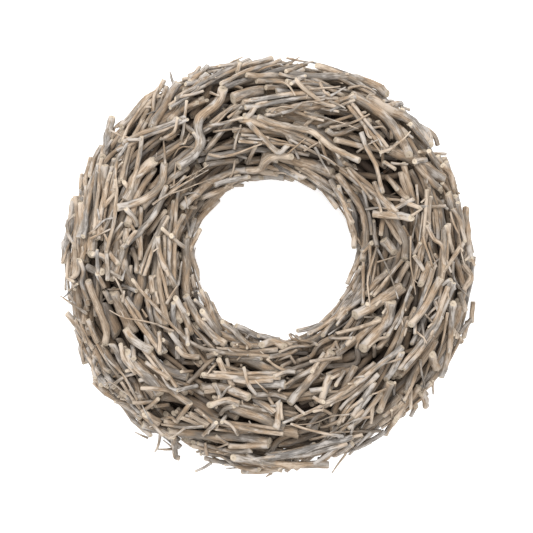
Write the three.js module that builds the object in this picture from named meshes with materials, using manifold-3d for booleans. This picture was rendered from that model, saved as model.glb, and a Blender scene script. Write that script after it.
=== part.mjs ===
// A wreath of cut, weathered branches laid round a hoop of bound rods. It lies on its back with its face up.
// Millimetres. +X is right and +Y is up as the wreath is looked at, and +Z comes out of its face. The origin
// is on the surface that it lies on, under the middle of its outline.

import * as THREE from "three";
import { mergeVertices } from "three/addons/utils/BufferGeometryUtils.js";
import Module from "manifold-3d";

const wasm = await Module();
wasm.setup();

// The ring of branches. Its hole sits up and to the right of the middle, so it is fuller at the lower left.
const OUTER_RADIUS = 243;
const OUTER_CENTRE = [1, 1];
const OUTER_REACH = 253.5;
const HOLE_RADIUS = 99;
const HOLE_CENTRE = [8, 10];
const OPEN_RADIUS = 87;
const OPEN_SQUARE = 67;
const OPEN_STEPS = 24;
const MIDDLE_HEIGHT = 46;
const FACE_RISE = 62;
const BACK_DROP = 45;
const FACE_ROUNDNESS = 2.3;
const BACK_ROUNDNESS = 3.4;

// The hoop inside: a flat bundle of rods, round at its edges.
const HOOP_CENTRE = [(OUTER_CENTRE[0] + HOLE_CENTRE[0]) / 2, (OUTER_CENTRE[1] + HOLE_CENTRE[1]) / 2];
const HOOP_RADIUS = (OUTER_RADIUS + HOLE_RADIUS) / 2;
const HOOP_HALF_FLAT = 10;
const HOOP_EDGE = 29;
const HOOP_ROD_BULGE = 1.2;
const HOOP_SECTION_POINTS = 12;
const HOOP_SEGMENTS = 48;

// How branches lie against each other.
const BUNCHES = 24;
const BUNCH_REACH = 27;
const CLEARANCE = 0.45;
const FLAT_LOSS = 0.19;
const END_SHARE = 0.8;
const LEAST_SINK = 0.6;
const MOST_SINK = 5.5;
const FLOOR_CLEARANCE = 1.2;
const FOOT_SINK = 1.15;
const FOOT_THICKNESS = 16.6;
const BOUND_THICKNESS = [13.8, 15.2];

// The picture that the most visible branches were read from: its scale, its middle and how far the lens was.
const MM_PER_PIXEL = 1.2;
const PICTURE_MIDDLE = [267.5, 265];
const LENS_DISTANCE = 2000;
const SMALL_BEND = 2.5;

const RADIANS = Math.PI / 180;

// The seeded draw.

const DRAW_SEED = 10;
let drawState = DRAW_SEED;
function draw() {
  drawState = (drawState * 1664525 + 1013904223) % 4294967296;
  return drawState / 4294967296;
}
function between(low, high) {
  return low + (high - low) * draw();
}

// Points and directions.

const add = (a, b) => [a[0] + b[0], a[1] + b[1], a[2] + b[2]];
const minus = (a, b) => [a[0] - b[0], a[1] - b[1], a[2] - b[2]];
const times = (a, k) => [a[0] * k, a[1] * k, a[2] * k];
const dot = (a, b) => a[0] * b[0] + a[1] * b[1] + a[2] * b[2];
const cross = (a, b) => [
  a[1] * b[2] - a[2] * b[1],
  a[2] * b[0] - a[0] * b[2],
  a[0] * b[1] - a[1] * b[0],
];
const unit = (a) => times(a, 1 / Math.sqrt(dot(a, a)));

// Distance from the origin to a circle's edge, in the direction of an angle.
function edgeAt(angle, centre, radius) {
  const c = Math.cos(angle);
  const s = Math.sin(angle);
  const off = centre[0] * s - centre[1] * c;
  return centre[0] * c + centre[1] * s + Math.sqrt(radius * radius - off * off);
}

// The ring's section at an angle round the wreath: where its middle is, and its half width.
function sectionAt(angle) {
  const inner = edgeAt(angle, HOLE_CENTRE, HOLE_RADIUS);
  const outer = edgeAt(angle, OUTER_CENTRE, OUTER_RADIUS);
  return { middle: (inner + outer) / 2, half: (outer - inner) / 2 };
}

// A point on or under the ring's surface. around is 0 at the outside, 90 at the face, 180 at the hole.
function surfacePoint(angle, around, depth) {
  const { middle, half } = sectionAt(angle);
  const c = Math.cos(around);
  const s = Math.sin(around);
  const power = s >= 0 ? FACE_ROUNDNESS : BACK_ROUNDNESS;
  const rise = s >= 0 ? FACE_RISE : BACK_DROP;
  const k = Math.pow(Math.pow(Math.abs(c), power) + Math.pow(Math.abs(s), power), -1 / power);
  const r = middle + k * c * (half - depth);
  const z = MIDDLE_HEIGHT + k * s * (rise - depth);
  return [r * Math.cos(angle), r * Math.sin(angle), z];
}

// Three directions there: clockwise along the ring, inwards from its surface, and across towards the hole.
function surfaceFrame(angle, around, depth) {
  const here = surfacePoint(angle, around, depth);
  const clockwise = unit(minus(surfacePoint(angle - 0.01, around, depth), here));
  const across = unit(minus(surfacePoint(angle, around + 0.01, depth), here));
  const inwards = unit(cross(clockwise, across));
  return { here, clockwise, across: cross(inwards, clockwise), inwards };
}

// The height of the face's surface over a place on the ring.
function faceHeight(x, y) {
  const { middle, half } = sectionAt(Math.atan2(y, x));
  const off = Math.min(Math.abs(Math.hypot(x, y) - middle) / half, 1);
  return MIDDLE_HEIGHT + FACE_RISE * Math.pow(1 - Math.pow(off, FACE_ROUNDNESS), 1 / FACE_ROUNDNESS);
}

// The pile of branches. Each limb is a chain of points with a radius at each

const pile = [];

// A limb's straight links. As capsules they reach past the limb's flat ends, so each also has a core that
// stays within them.
function limbLinks(limbs) {
  const links = [];
  for (const { points, radii } of limbs) {
    const last = points.length - 1;
    for (let i = 1; i <= last; i++) {
      const [a, b] = [points[i - 1], points[i]];
      const r = Math.max(radii[i - 1], radii[i]);
      const along = unit(minus(b, a));
      const core = {
        a: i === 1 ? add(a, times(along, r * END_SHARE)) : a,
        b: i === last ? minus(b, times(along, r * END_SHARE)) : b,
      };
      links.push({ a, b, r, core });
    }
  }
  return links;
}

const clamp01 = (x) => Math.min(Math.max(x, 0), 1);

// The shortest distance between two straight links.
function linkDistance(p, q) {
  const u = minus(p.b, p.a);
  const v = minus(q.b, q.a);
  const w = minus(p.a, q.a);
  const a = dot(u, u);
  const e = dot(v, v);
  const b = dot(u, v);
  const c = dot(u, w);
  const f = dot(v, w);
  const slant = a * e - b * b;
  let s = slant > 1e-9 ? clamp01((b * f - c * e) / slant) : 0;
  const t = clamp01((b * s + f) / e);
  s = clamp01((b * t - c) / a);
  const gap = add(w, minus(times(u, s), times(v, t)));
  return Math.sqrt(dot(gap, gap));
}

// A ball round a branch, to pass over those that are far away.
function ballOf(links) {
  const ends = links.flatMap((link) => [link.a, link.b]);
  const centre = [0, 1, 2].map((k) => {
    const values = ends.map((p) => p[k]);
    return (Math.min(...values) + Math.max(...values)) / 2;
  });
  const reach = Math.max(...links.map((link) => {
    const u = minus(link.a, centre);
    const v = minus(link.b, centre);
    return Math.sqrt(Math.max(dot(u, u), dot(v, v))) + link.r;
  }));
  return { centre, reach };
}

function hoopDistance(p) {
  const r = Math.hypot(p[0] - HOOP_CENTRE[0], p[1] - HOOP_CENTRE[1]) - HOOP_RADIUS;
  const beside = Math.max(Math.abs(r) - HOOP_HALF_FLAT, 0);
  return Math.hypot(beside, p[2] - MIDDLE_HEIGHT) - HOOP_EDGE - HOOP_ROD_BULGE;
}

function holeDistance(p) {
  return Math.hypot(p[0] - HOLE_CENTRE[0], p[1] - HOLE_CENTRE[1]) - HOLE_RADIUS;
}

function reachDistance(p) {
  return OUTER_REACH - Math.hypot(p[0], p[1]);
}

// How a branch would lie: its least clearance from the hoop, the surface, the hole and the wreath's reach,
// its gap from each bunch, and the same gap between the flats of the tubes, which has to close for a bond.
function lieOf(limbs, reach) {
  const links = limbLinks(limbs);
  let solid = Infinity;
  for (const link of links) {
    for (const share of [0, 0.5, 1]) {
      const p = add(link.a, times(minus(link.b, link.a), share));
      solid = Math.min(solid, hoopDistance(p) - link.r - CLEARANCE);
      solid = Math.min(solid, p[2] - link.r - FLOOR_CLEARANCE);
      solid = Math.min(solid, holeDistance(p) - link.r + reach);
      solid = Math.min(solid, reachDistance(p) - link.r);
    }
  }
  const gaps = new Array(BUNCHES).fill(Infinity);
  const bonds = new Array(BUNCHES).fill(Infinity);
  if (solid < 0) return { solid, gaps, bonds };
  const ball = ballOf(links);
  for (const piled of pile) {
    const apart = minus(ball.centre, piled.ball.centre);
    if (Math.sqrt(dot(apart, apart)) > ball.reach + piled.ball.reach + CLEARANCE) continue;
    for (const there of piled.links) {
      for (const link of links) {
        const gap = linkDistance(link, there) - link.r - there.r;
        if (gap < gaps[piled.bunch]) gaps[piled.bunch] = gap;
        if (gap > 0) continue;
        const bond = linkDistance(link.core, there.core) - (1 - FLAT_LOSS) * (link.r + there.r);
        if (bond < bonds[piled.bunch]) bonds[piled.bunch] = bond;
      }
    }
  }
  return { solid, gaps, bonds };
}

function turnBetween(a, b) {
  const turn = Math.abs(a - b) % 360;
  return Math.min(turn, 360 - turn);
}

// Whether a tight skin round a bunch, with this branch in it, would leave the hole open: it keeps out of a
// circle round the hole's middle, and out of the largest square that fits the hole.
function keepsOpen(limbs, bunch) {
  const spots = (chains) =>
    chains.flatMap(({ points, radii }) =>
      points.map(([x, y], i) => ({ x: x - HOLE_CENTRE[0], y: y - HOLE_CENTRE[1], r: radii[i] })),
    );
  const own = spots(limbs);
  const piled = pile.filter((there) => there.bunch === bunch).flatMap((there) => there.limbs);
  const all = own.concat(spots(piled));
  return own.every((from) =>
    all.every((to) => {
      const r = Math.max(from.r, to.r);
      const way = [to.x - from.x, to.y - from.y];
      const far = way[0] * way[0] + way[1] * way[1] || 1;
      const share = clamp01(-(from.x * way[0] + from.y * way[1]) / far);
      const nearest = Math.hypot(from.x + way[0] * share, from.y + way[1] * share);
      if (nearest - r <= OPEN_RADIUS) return false;
      for (let step = 0; step <= OPEN_STEPS; step++) {
        const x = from.x + (way[0] * step) / OPEN_STEPS;
        const y = from.y + (way[1] * step) / OPEN_STEPS;
        if (Math.max(Math.abs(x), Math.abs(y)) - r <= OPEN_SQUARE) return false;
      }
      return true;
    }),
  );
}

// The bunch that a branch may join: it has to sink into that one, lie clear of all the others, and leave the
// hole open, so that each bunch keeps to its own side of it.
function bunchFor(limbs, reach) {
  const { solid, gaps, bonds } = lieOf(limbs, reach);
  if (solid < 0) return -1;
  const main = limbs[0].points;
  const middle = main[Math.floor(main.length / 2)];
  const angle = Math.atan2(middle[1], middle[0]) / RADIANS;
  let found = -1;
  for (let k = 0; k < BUNCHES; k++) {
    if (gaps[k] >= CLEARANCE) continue;
    const near = turnBetween(angle, (k * 360) / BUNCHES) <= BUNCH_REACH;
    if (found >= 0 || !near || bonds[k] > -LEAST_SINK || gaps[k] < -MOST_SINK) return -1;
    found = k;
  }
  return found >= 0 && keepsOpen(limbs, found) ? found : -1;
}

function lay(limbs, bunch) {
  const links = limbLinks(limbs);
  pile.push({ limbs, bunch, links, ball: ballOf(links) });
}

const moved = (limbs, shift) =>
  limbs.map(({ points, radii }) => ({ points: points.map((p) => add(p, shift)), radii }));

// One branch.

// A branch cut from a crooked shoot: a chain of points about its middle, that partly follows the ring, thins
// towards its forward end, and may carry a fork.
function shoot(angle, around, depth, size) {
  const { here, clockwise, across, inwards } = surfaceFrame(angle, around, depth);
  const length = size.length;
  const lean = size.lean;
  const side = add(times(clockwise, Math.cos(lean)), times(across, -Math.sin(lean)));
  const forward = add(times(side, Math.cos(size.dip)), times(inwards, Math.sin(size.dip)));
  const sideways = unit(cross(inwards, forward));
  const steps = size.steps;
  const holeWay = unit([-here[0], -here[1], 0]);
  const points = [];
  const radii = [];
  for (let i = 0; i <= steps; i++) {
    const along = (i / steps - 0.5) * length;
    const follow = (size.follow * along * along) / (2 * HOOP_RADIUS);
    const inner = i > 0 && i < steps;
    const crook = inner ? between(-1, 1) * length * size.crook : 0;
    const bump = inner ? between(-1, 1) * length * size.crook * 0.5 : 0;
    let p = add(here, times(forward, along));
    p = add(p, times(holeWay, follow));
    p = add(p, add(times(sideways, crook), times(inwards, bump)));
    points.push(p);
    radii.push(size.radius * (1 + size.taper * (0.5 - i / steps)));
  }
  const limbs = [{ points, radii }];
  if (size.fork > 0) {
    const from = points[steps - 1];
    const spread = size.forkSide * between(0.45, 0.85);
    const way = add(times(forward, Math.cos(spread)), times(sideways, Math.sin(spread)));
    const end = add(from, add(times(way, size.fork), times(inwards, size.fork * between(0, 0.25))));
    const r = size.radius * 0.62;
    limbs.push({ points: [from, end], radii: [r, r * 0.8] });
  }
  return limbs;
}

function drawSize(kind) {
  const radius = between(kind.radius[0], kind.radius[1]);
  return {
    radius,
    length: between(kind.length[0], kind.length[1]),
    lean: between(kind.lean[0], kind.lean[1]) * RADIANS,
    dip: between(kind.dip[0], kind.dip[1]) * RADIANS,
    follow: between(0.1, 0.6),
    crook: between(0.01, 0.05),
    taper: between(0.05, 0.4),
    steps: kind.steps,
    fork: draw() < kind.forked ? between(0.2, 0.4) * kind.length[0] : 0,
    forkSide: draw() < 0.5 ? 1 : -1,
  };
}

// Tries one place after another until a branch of this kind lies well.
function layOne(kind, angle, around, tries) {
  for (let n = 0; n < tries; n++) {
    const size = drawSize(kind);
    const a = angle + between(-kind.spread[0], kind.spread[0]) * RADIANS;
    const b = around + between(-kind.spread[1], kind.spread[1]) * RADIANS;
    const depth = size.radius + between(kind.depth[0], kind.depth[1]);
    const limbs = shoot(a, b, depth, size);
    const { inwards } = surfaceFrame(a, b, depth);
    for (const slide of kind.slides) {
      const there = moved(limbs, times(inwards, slide));
      const bunch = bunchFor(there, kind.intoHole);
      if (bunch >= 0) {
        lay(there, bunch);
        return;
      }
    }
  }
}

const SLIDES = [0, -1, 1, -2, 2, -3, 3, -4, 4, -5, 5, -6, -7, -8, -9, -10];

// The first branch of each bunch is bound to the hoop: against its face, or high or low on its outer edge or
// its hole side. Three of them are the feet: straight, under the hoop, and flattened a little where the
// wreath rests on them.
const FOOT = 270;
const FIRST_PLACES = [90, 30, FOOT, 150, 90, -30, 210, 30];
const isFoot = (bunch) => FIRST_PLACES[bunch % FIRST_PLACES.length] === FOOT;

function layFoot(bunch) {
  const radius = FOOT_THICKNESS / 2;
  const size = { ...drawSize(KINDS.under), radius, taper: 0, crook: 0, dip: 0, fork: 0, follow: 0 };
  const limbs = shoot(((bunch * 360) / BUNCHES) * RADIANS, FOOT * RADIANS, radius, size);
  limbs[0].points = limbs[0].points.map(([x, y]) => [x, y, radius - FOOT_SINK]);
  lay(limbs, bunch);
}

// A place at some distance off the hoop's side, in the direction of an angle round its section.
function besideHoop(angle, around, distance) {
  const off = Math.cos(around) * distance + Math.sign(Math.round(Math.cos(around) * 1e6)) * HOOP_HALF_FLAT;
  const r = HOOP_RADIUS + off;
  const z = MIDDLE_HEIGHT + Math.sin(around) * distance;
  return [HOOP_CENTRE[0] + r * Math.cos(angle), HOOP_CENTRE[1] + r * Math.sin(angle), z];
}

function layFirst(bunch) {
  const angle = ((bunch * 360) / BUNCHES) * RADIANS;
  const around = FIRST_PLACES[bunch % FIRST_PLACES.length] * RADIANS;
  const holeSide = Math.cos(around) < -0.1;
  for (let n = 0; n < 400; n++) {
    const radius = between(BOUND_THICKNESS[0], BOUND_THICKNESS[1]) / 2;
    const size = { ...drawSize(KINDS.under), radius, taper: 0.05, dip: 0, follow: holeSide ? 2.2 : 0.3 };
    const limbs = shoot(angle, around, 30, { ...size, crook: 0.004 });
    const middle = limbs[0].points[1];
    for (let off = HOOP_EDGE; off < HOOP_EDGE + 20; off += 0.05) {
      const there = moved(limbs, minus(besideHoop(angle, around, off), middle));
      const { solid, gaps } = lieOf(there, 0);
      if (solid < 0) continue;
      if (Math.min(...gaps) < CLEARANCE || !keepsOpen(there, bunch)) break;
      lay(there, bunch);
      return;
    }
  }
  throw new Error("no place for the first branch of bunch " + bunch);
}

// The kinds of branch that the rule lays. A dip turns the forward end into the ring, and slides are tried in
// turn, into the ring, or out of it where they are less than nothing.

const KINDS = {
  under: {
    radius: [6, 8], length: [95, 145], lean: [-14, 16], dip: [-2, 4], steps: 2, forked: 0,
    spread: [8, 14], depth: [12, 26], slides: SLIDES, intoHole: 0,
  },
  middle: {
    radius: [5, 7.8], length: [80, 135], lean: [-22, 26], dip: [-2, 5], steps: 2, forked: 0.1,
    spread: [8, 14], depth: [4, 14], slides: SLIDES, intoHole: 0,
  },
  outer: {
    radius: [3.6, 6.8], length: [70, 140], lean: [-26, 34], dip: [-3, 9], steps: 2, forked: 0.25,
    spread: [9, 12], depth: [0, 9], slides: SLIDES, intoHole: 2,
  },
  back: {
    radius: [4.4, 7.2], length: [80, 130], lean: [-24, 24], dip: [0, 0], steps: 2, forked: 0.2,
    spread: [8, 14], depth: [0, 6], slides: SLIDES, intoHole: 0,
  },
  tip: {
    radius: [1.6, 2.6], length: [60, 100], lean: [-35, 45], dip: [4, 16], steps: 2, forked: 0.5,
    spread: [9, 16], depth: [-3, 3], slides: SLIDES, intoHole: 3,
  },
};

// The branches that show most, read from the picture: thickness in mm, how far under the face, and the
// picture's pixels from the root to the forward end.

const SEEN = [
  { thick: 13, under: 12, path: [[265, 151], [288, 158], [311, 165], [332, 172]] },
  { thick: 14, under: 12, path: [[293, 124], [311, 130], [325, 138], [346, 166]] },
  { thick: 15, under: 10, path: [[260, 112], [278, 116], [296, 116], [318, 115]] },
  { thick: 12, under: 6, path: [[367, 99], [388, 110], [408, 121], [428, 144]] },
  { thick: 13, under: 8, path: [[390, 150], [416, 162], [431, 171], [445, 179]] },
  { thick: 12, under: 10, path: [[437, 204], [441, 221], [444, 246]] },
  { thick: 10, under: 10, path: [[389, 205], [397, 222], [405, 241], [404, 259]] },
  { thick: 13, under: 4, path: [[405, 280], [390, 291], [369, 306], [348, 317]] },
  { thick: 12, under: 8, path: [[390, 301], [387, 319], [379, 326], [362, 347]] },
  { thick: 11, under: 4, path: [[459, 302], [456, 319], [447, 344], [439, 369]] },
  { thick: 9.5, under: 8, path: [[435, 340], [429, 350], [414, 372], [407, 392]] },
  { thick: 10, under: 6, path: [[331, 352], [314, 374], [303, 389], [290, 403]] },
  { thick: 12, under: 8, path: [[285, 385], [269, 372], [253, 364], [228, 361]] },
  { thick: 10, under: 10, path: [[258, 400], [246, 396], [225, 387], [199, 388]] },
  { thick: 12, under: 4, path: [[283, 427], [269, 421], [253, 416], [231, 409]] },
  { thick: 12, under: 6, path: [[297, 433], [269, 428], [238, 427]] },
  { thick: 10, under: 6, path: [[269, 441], [232, 438], [197, 434], [169, 431]] },
  { thick: 13, under: 8, path: [[218, 419], [190, 402], [162, 395]] },
  { thick: 11, under: 6, path: [[162, 395], [154, 382], [137, 367], [127, 350]] },
  { thick: 12.5, under: 8, path: [[134, 333], [123, 308], [113, 292]] },
  { thick: 14, under: 4, path: [[119, 338], [110, 316], [103, 301]] },
  { thick: 11, under: 10, path: [[136, 288], [129, 277], [123, 260], [120, 240]] },
  { thick: 10.5, under: 2, path: [[134, 316], [137, 309], [141, 285], [140, 262]] },
  { thick: 12.5, under: 4, path: [[126, 201], [129, 194], [137, 175], [154, 161]] },
  { thick: 13, under: 4, path: [[172, 132], [179, 112], [183, 100]] },
  { thick: 10, under: 6, path: [[152, 127], [157, 116], [166, 99], [178, 83]] },
  { thick: 9, under: 6, path: [[170, 122], [185, 100], [196, 88], [208, 74]] },
  { thick: 9.5, under: 4, path: [[192, 116], [199, 103], [207, 95], [211, 79]] },
  { thick: 13, under: 2, path: [[233, 98], [251, 91], [264, 90]] },
  { thick: 7.5, under: 8, path: [[225, 87], [243, 82], [274, 72], [299, 66]] },
  { thick: 7.5, under: 4, path: [[242, 65], [258, 61], [274, 57]] },
  { thick: 9.5, under: 2, path: [[286, 74], [328, 77], [352, 79], [372, 85], [387, 94]] },
  { thick: 11, under: 2, path: [[349, 96], [373, 113], [386, 120], [400, 138], [414, 162]] },
  { thick: 8.5, under: 2, path: [[408, 169], [416, 183], [428, 200], [447, 202]] },
  { thick: 8.5, under: 6, path: [[426, 149], [438, 155], [449, 162]] },
  { thick: 8, under: 4, path: [[466, 208], [467, 236], [470, 259]] },
  { thick: 8.5, under: 8, path: [[338, 175], [349, 192], [362, 213], [366, 236], [363, 260]] },
  { thick: 8, under: 2, path: [[338, 155], [349, 156], [374, 157], [397, 156]] },
  { thick: 7, under: 4, path: [[355, 172], [380, 176], [405, 173]] },
  { thick: 8, under: 2, path: [[369, 214], [394, 220], [414, 222]] },
  { thick: 6.5, under: 3, path: [[327, 130], [338, 134], [352, 130], [370, 120]] },
  { thick: 8, under: 2, path: [[244, 126], [269, 123], [276, 129], [283, 137], [287, 146]] },
  { thick: 6.5, under: 0, path: [[248, 122], [256, 133], [265, 142], [276, 152], [287, 146]] },
  { thick: 6.5, under: 2, path: [[246, 119], [251, 114], [259, 105], [268, 103]] },
  { thick: 8, under: 6, path: [[265, 134], [283, 133], [300, 134]] },
  { thick: 7, under: 6, path: [[207, 167], [225, 164], [245, 164]] },
  { thick: 6, under: 2, path: [[211, 123], [225, 114], [237, 104]] },
  { thick: 6, under: 2, path: [[207, 152], [216, 150], [229, 142], [242, 135]] },
  { thick: 8.5, under: 6, path: [[182, 207], [199, 191], [216, 177], [246, 170]] },
  { thick: 11, under: -2,
    path: [[179, 166], [194, 156], [201, 144], [201, 130], [199, 120], [217, 102], [223, 89]] },
  { thick: 10, under: -2, path: [[147, 236], [161, 227], [169, 206], [185, 180], [204, 148]] },
  { thick: 8.5, under: 0, path: [[117, 208], [134, 203], [148, 196], [161, 183], [164, 163]] },
  { thick: 7, under: 0, path: [[122, 248], [140, 232], [154, 215], [161, 201], [166, 186]] },
  { thick: 9, under: 2, path: [[103, 156], [105, 147], [109, 130], [112, 117]] },
  { thick: 6.5, under: 4, path: [[120, 141], [126, 130], [137, 110], [147, 95]] },
  { thick: 7.5, under: 6, path: [[141, 131], [151, 116], [159, 102], [166, 86]] },
  { thick: 6, under: 2, path: [[82, 260], [88, 229], [88, 201], [85, 180], [91, 157]] },
  { thick: 6, under: 4, path: [[103, 215], [109, 187], [114, 159]] },
  { thick: 6.7, under: 6, path: [[74, 248], [77, 222], [75, 196]] },
  { thick: 6, under: 6, path: [[140, 260], [141, 229], [141, 207]] },
  { thick: 9.5, under: 6, path: [[186, 295], [185, 262], [186, 236]] },
  { thick: 8.5, under: 2, path: [[105, 344], [105, 326], [98, 305], [88, 281]] },
  { thick: 8, under: 4, path: [[190, 334], [185, 316], [176, 298]] },
  { thick: 9.5, under: 4, path: [[225, 344], [210, 333], [196, 319], [186, 296]] },
  { thick: 10, under: 0, path: [[151, 350], [134, 340], [126, 329]] },
  { thick: 7.5, under: 4, path: [[110, 382], [96, 361], [78, 333], [63, 308]] },
  { thick: 8.5, under: 6, path: [[140, 417], [113, 396], [94, 381]] },
  { thick: 7, under: 2, path: [[93, 347], [103, 367], [109, 372]] },
  { thick: 10, under: 8, path: [[187, 377], [167, 371], [148, 354]] },
  { thick: 4.7, under: -2, path: [[269, 357], [225, 353], [196, 346], [176, 329], [151, 301], [133, 280]] },
  { thick: 7, under: 0, path: [[234, 385], [227, 369], [218, 355]] },
  { thick: 6, under: -2, path: [[214, 358], [201, 368], [187, 384]] },
  { thick: 6, under: -2, path: [[217, 405], [220, 396], [214, 384]] },
  { thick: 8, under: 0, path: [[239, 404], [225, 401], [210, 405]] },
  { thick: 5.7, under: 0, path: [[190, 404], [185, 414], [176, 423]] },
  { thick: 8, under: 0, path: [[276, 428], [279, 419], [278, 402]] },
  { thick: 7, under: 0, path: [[318, 428], [296, 434], [279, 441], [268, 461]] },
  { thick: 8.5, under: 4, path: [[344, 442], [327, 458], [315, 469]] },
  { thick: 7.5, under: 4, path: [[332, 442], [311, 456], [294, 469]] },
  { thick: 6, under: 4, path: [[300, 462], [269, 471], [238, 473]] },
  { thick: 8, under: 2, path: [[355, 367], [348, 386], [334, 414], [334, 435]] },
  { thick: 7, under: 0, path: [[318, 367], [355, 365], [358, 348]] },
  { thick: 9, under: 2, path: [[330, 376], [325, 386], [321, 400]] },
  { thick: 6.2, under: 2, path: [[377, 375], [355, 397], [338, 424]] },
  { thick: 7, under: 4, path: [[374, 382], [363, 400], [352, 416]] },
  { thick: 9.5, under: 2, path: [[390, 383], [386, 395], [379, 411]] },
  { thick: 6.5, under: 0, path: [[402, 347], [386, 358], [372, 371], [355, 384]] },
  { thick: 9, under: 0, path: [[410, 330], [404, 358], [398, 379]] },
  { thick: 7.5, under: 2, path: [[414, 280], [414, 302], [405, 320], [390, 339], [382, 352]] },
  { thick: 9, under: 0, path: [[440, 278], [436, 287], [424, 308], [410, 324]] },
  { thick: 10.5, under: 4, path: [[449, 298], [441, 309]] },
  { thick: 6.5, under: 4, path: [[454, 253], [457, 266], [464, 286]] },
  { thick: 5.5, under: 2, path: [[463, 243], [456, 253], [442, 273]] },
  { thick: 5.5, under: 2, path: [[427, 226], [433, 239], [442, 246], [444, 266]] },
  { thick: 9, under: 0, path: [[430, 263], [425, 271], [421, 284]] },
  { thick: 6.5, under: 4, path: [[409, 263], [401, 275], [397, 284]] },
  { thick: 6.5, under: 4, path: [[395, 420], [391, 426], [386, 435]] },
  { thick: 4, under: -2, path: [[348, 169], [360, 183], [372, 199]] },
  { thick: 4, under: -2, path: [[369, 193], [396, 196], [415, 199]] },
  { thick: 4, under: 0, path: [[418, 207], [432, 206], [446, 206]] },
  { thick: 4, under: -2, path: [[330, 402], [307, 414], [283, 423]] },
  { thick: 3, under: 4, path: [[223, 70], [231, 62], [242, 56]] },
  { thick: 3, under: 2, path: [[348, 449], [339, 461], [332, 473]] },
  { thick: 4, under: 2, path: [[211, 463], [204, 467], [196, 471]] },
  { thick: 3.7, under: 2, path: [[86, 316], [74, 308], [58, 296]] },
  { thick: 3.7, under: 0, path: [[166, 306], [178, 285], [182, 260]] },
];

// Real millimetres of a pixel whose point is at some height: what is nearer the lens looks larger.
function fromPicture([px, py], height) {
  const scale = (MM_PER_PIXEL * (LENS_DISTANCE - height)) / (LENS_DISTANCE - MIDDLE_HEIGHT);
  return [(px - PICTURE_MIDDLE[0]) * scale, (PICTURE_MIDDLE[1] - py) * scale];
}

// A branch of the picture, with heights that partly follow the face's curve, as a stiff branch does.
function seenLimbs({ thick, under, path }) {
  const r = thick / 2;
  const flat = path.map((pixel) => {
    const [x, y] = fromPicture(pixel, MIDDLE_HEIGHT + FACE_RISE / 2);
    const height = faceHeight(x, y) - r - under;
    return [...fromPicture(pixel, height), height];
  });
  const first = flat[0][2];
  const last = flat[flat.length - 1][2];
  const bent = flat.map((p, i) => {
    const straight = first + ((last - first) * i) / (flat.length - 1);
    return [p[0], p[1], Math.max((straight + p[2]) / 2, MIDDLE_HEIGHT - 14)];
  });
  const points = withoutSmallBends(bent);
  const radii = points.map((p, i) => r * (1.06 - (0.12 * i) / (points.length - 1)));
  return [{ points, radii }];
}

// Leaves out the inner points that stand less than a little off the line between their neighbours.
function withoutSmallBends(points) {
  const kept = [points[0]];
  for (let i = 1; i < points.length - 1; i++) {
    const last = kept[kept.length - 1];
    const along = unit(minus(points[i + 1], last));
    const off = cross(minus(points[i], last), along);
    if (Math.sqrt(dot(off, off)) > SMALL_BEND) kept.push(points[i]);
  }
  kept.push(points[points.length - 1]);
  return kept;
}

// Cuts a share of a chain's length off its two ends.
function cutBack({ points, radii }, first, last) {
  const lengths = points.slice(1).map((p, i) => Math.hypot(...minus(p, points[i])));
  const total = lengths.reduce((sum, x) => sum + x, 0);
  const along = [0];
  for (const length of lengths) along.push(along[along.length - 1] + length);
  const at = (distance) => {
    let i = 1;
    while (i < points.length - 1 && along[i] < distance) i++;
    const share = (distance - along[i - 1]) / (along[i] - along[i - 1]);
    const point = add(points[i - 1], times(minus(points[i], points[i - 1]), share));
    return { point, radius: radii[i - 1] + (radii[i] - radii[i - 1]) * share, distance };
  };
  const from = total * first;
  const to = total * (1 - last);
  const kept = [at(from)];
  points.forEach((point, i) => {
    if (along[i] > from + 4 && along[i] < to - 4) kept.push({ point, radius: radii[i] });
  });
  kept.push(at(to));
  return { points: kept.map((k) => k.point), radii: kept.map((k) => k.radius) };
}

// Lets a branch down from a little over its height in the picture until it sinks into one bunch alone. After
// each failure it may turn, tilt, move and be cut back a little more.
const SEEN_TRIES = 90;
function laySeen(branch) {
  const limbs = seenLimbs(branch);
  for (let n = 0; n < SEEN_TRIES; n++) {
    const loose = n / SEEN_TRIES;
    const shift = [between(-5, 5) * loose, between(-5, 5) * loose, 0];
    const tilt = between(-16, 16) * loose;
    const turn = between(-0.09, 0.09) * loose;
    const cut = n > 20 ? [between(0, 0.2) * loose, between(0, 0.2) * loose] : [0, 0];
    const tilted = limbs.map((limb) => {
      const { points, radii } = cutBack(limb, cut[0], cut[1]);
      const last = points.length - 1;
      const middle = times(add(points[0], points[last]), 0.5);
      return {
        points: points.map((p, i) => {
          const [x, y] = minus(p, middle);
          return [
            middle[0] + x * Math.cos(turn) - y * Math.sin(turn),
            middle[1] + x * Math.sin(turn) + y * Math.cos(turn),
            p[2] + tilt * (i / last - 0.5),
          ];
        }),
        radii,
      };
    });
    for (let step = 0; step < 60; step++) {
      const rise = step < 24 ? (step % 2 ? 0.5 : -0.5) * Math.ceil(step / 2) : -0.5 * (step - 11);
      const there = moved(tilted, [shift[0], shift[1], rise]);
      const bunch = bunchFor(there, 6);
      if (bunch >= 0) {
        lay(there, bunch);
        return;
      }
    }
  }
}

// Laying the whole wreath.

for (let bunch = 0; bunch < BUNCHES; bunch++) if (isFoot(bunch)) layFoot(bunch);
for (let bunch = 0; bunch < BUNCHES; bunch++) if (!isFoot(bunch)) layFirst(bunch);

// Rows round the ring, each at its own place round the section and set off from the row before.
function layRows(kind, perRow, rows, tries) {
  rows.forEach((around, row) => {
    for (let i = 0; i < perRow; i++) {
      const angle = ((i + row / rows.length) / perRow) * 360 * RADIANS;
      layOne(kind, angle, around * RADIANS, tries);
    }
  });
}

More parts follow.
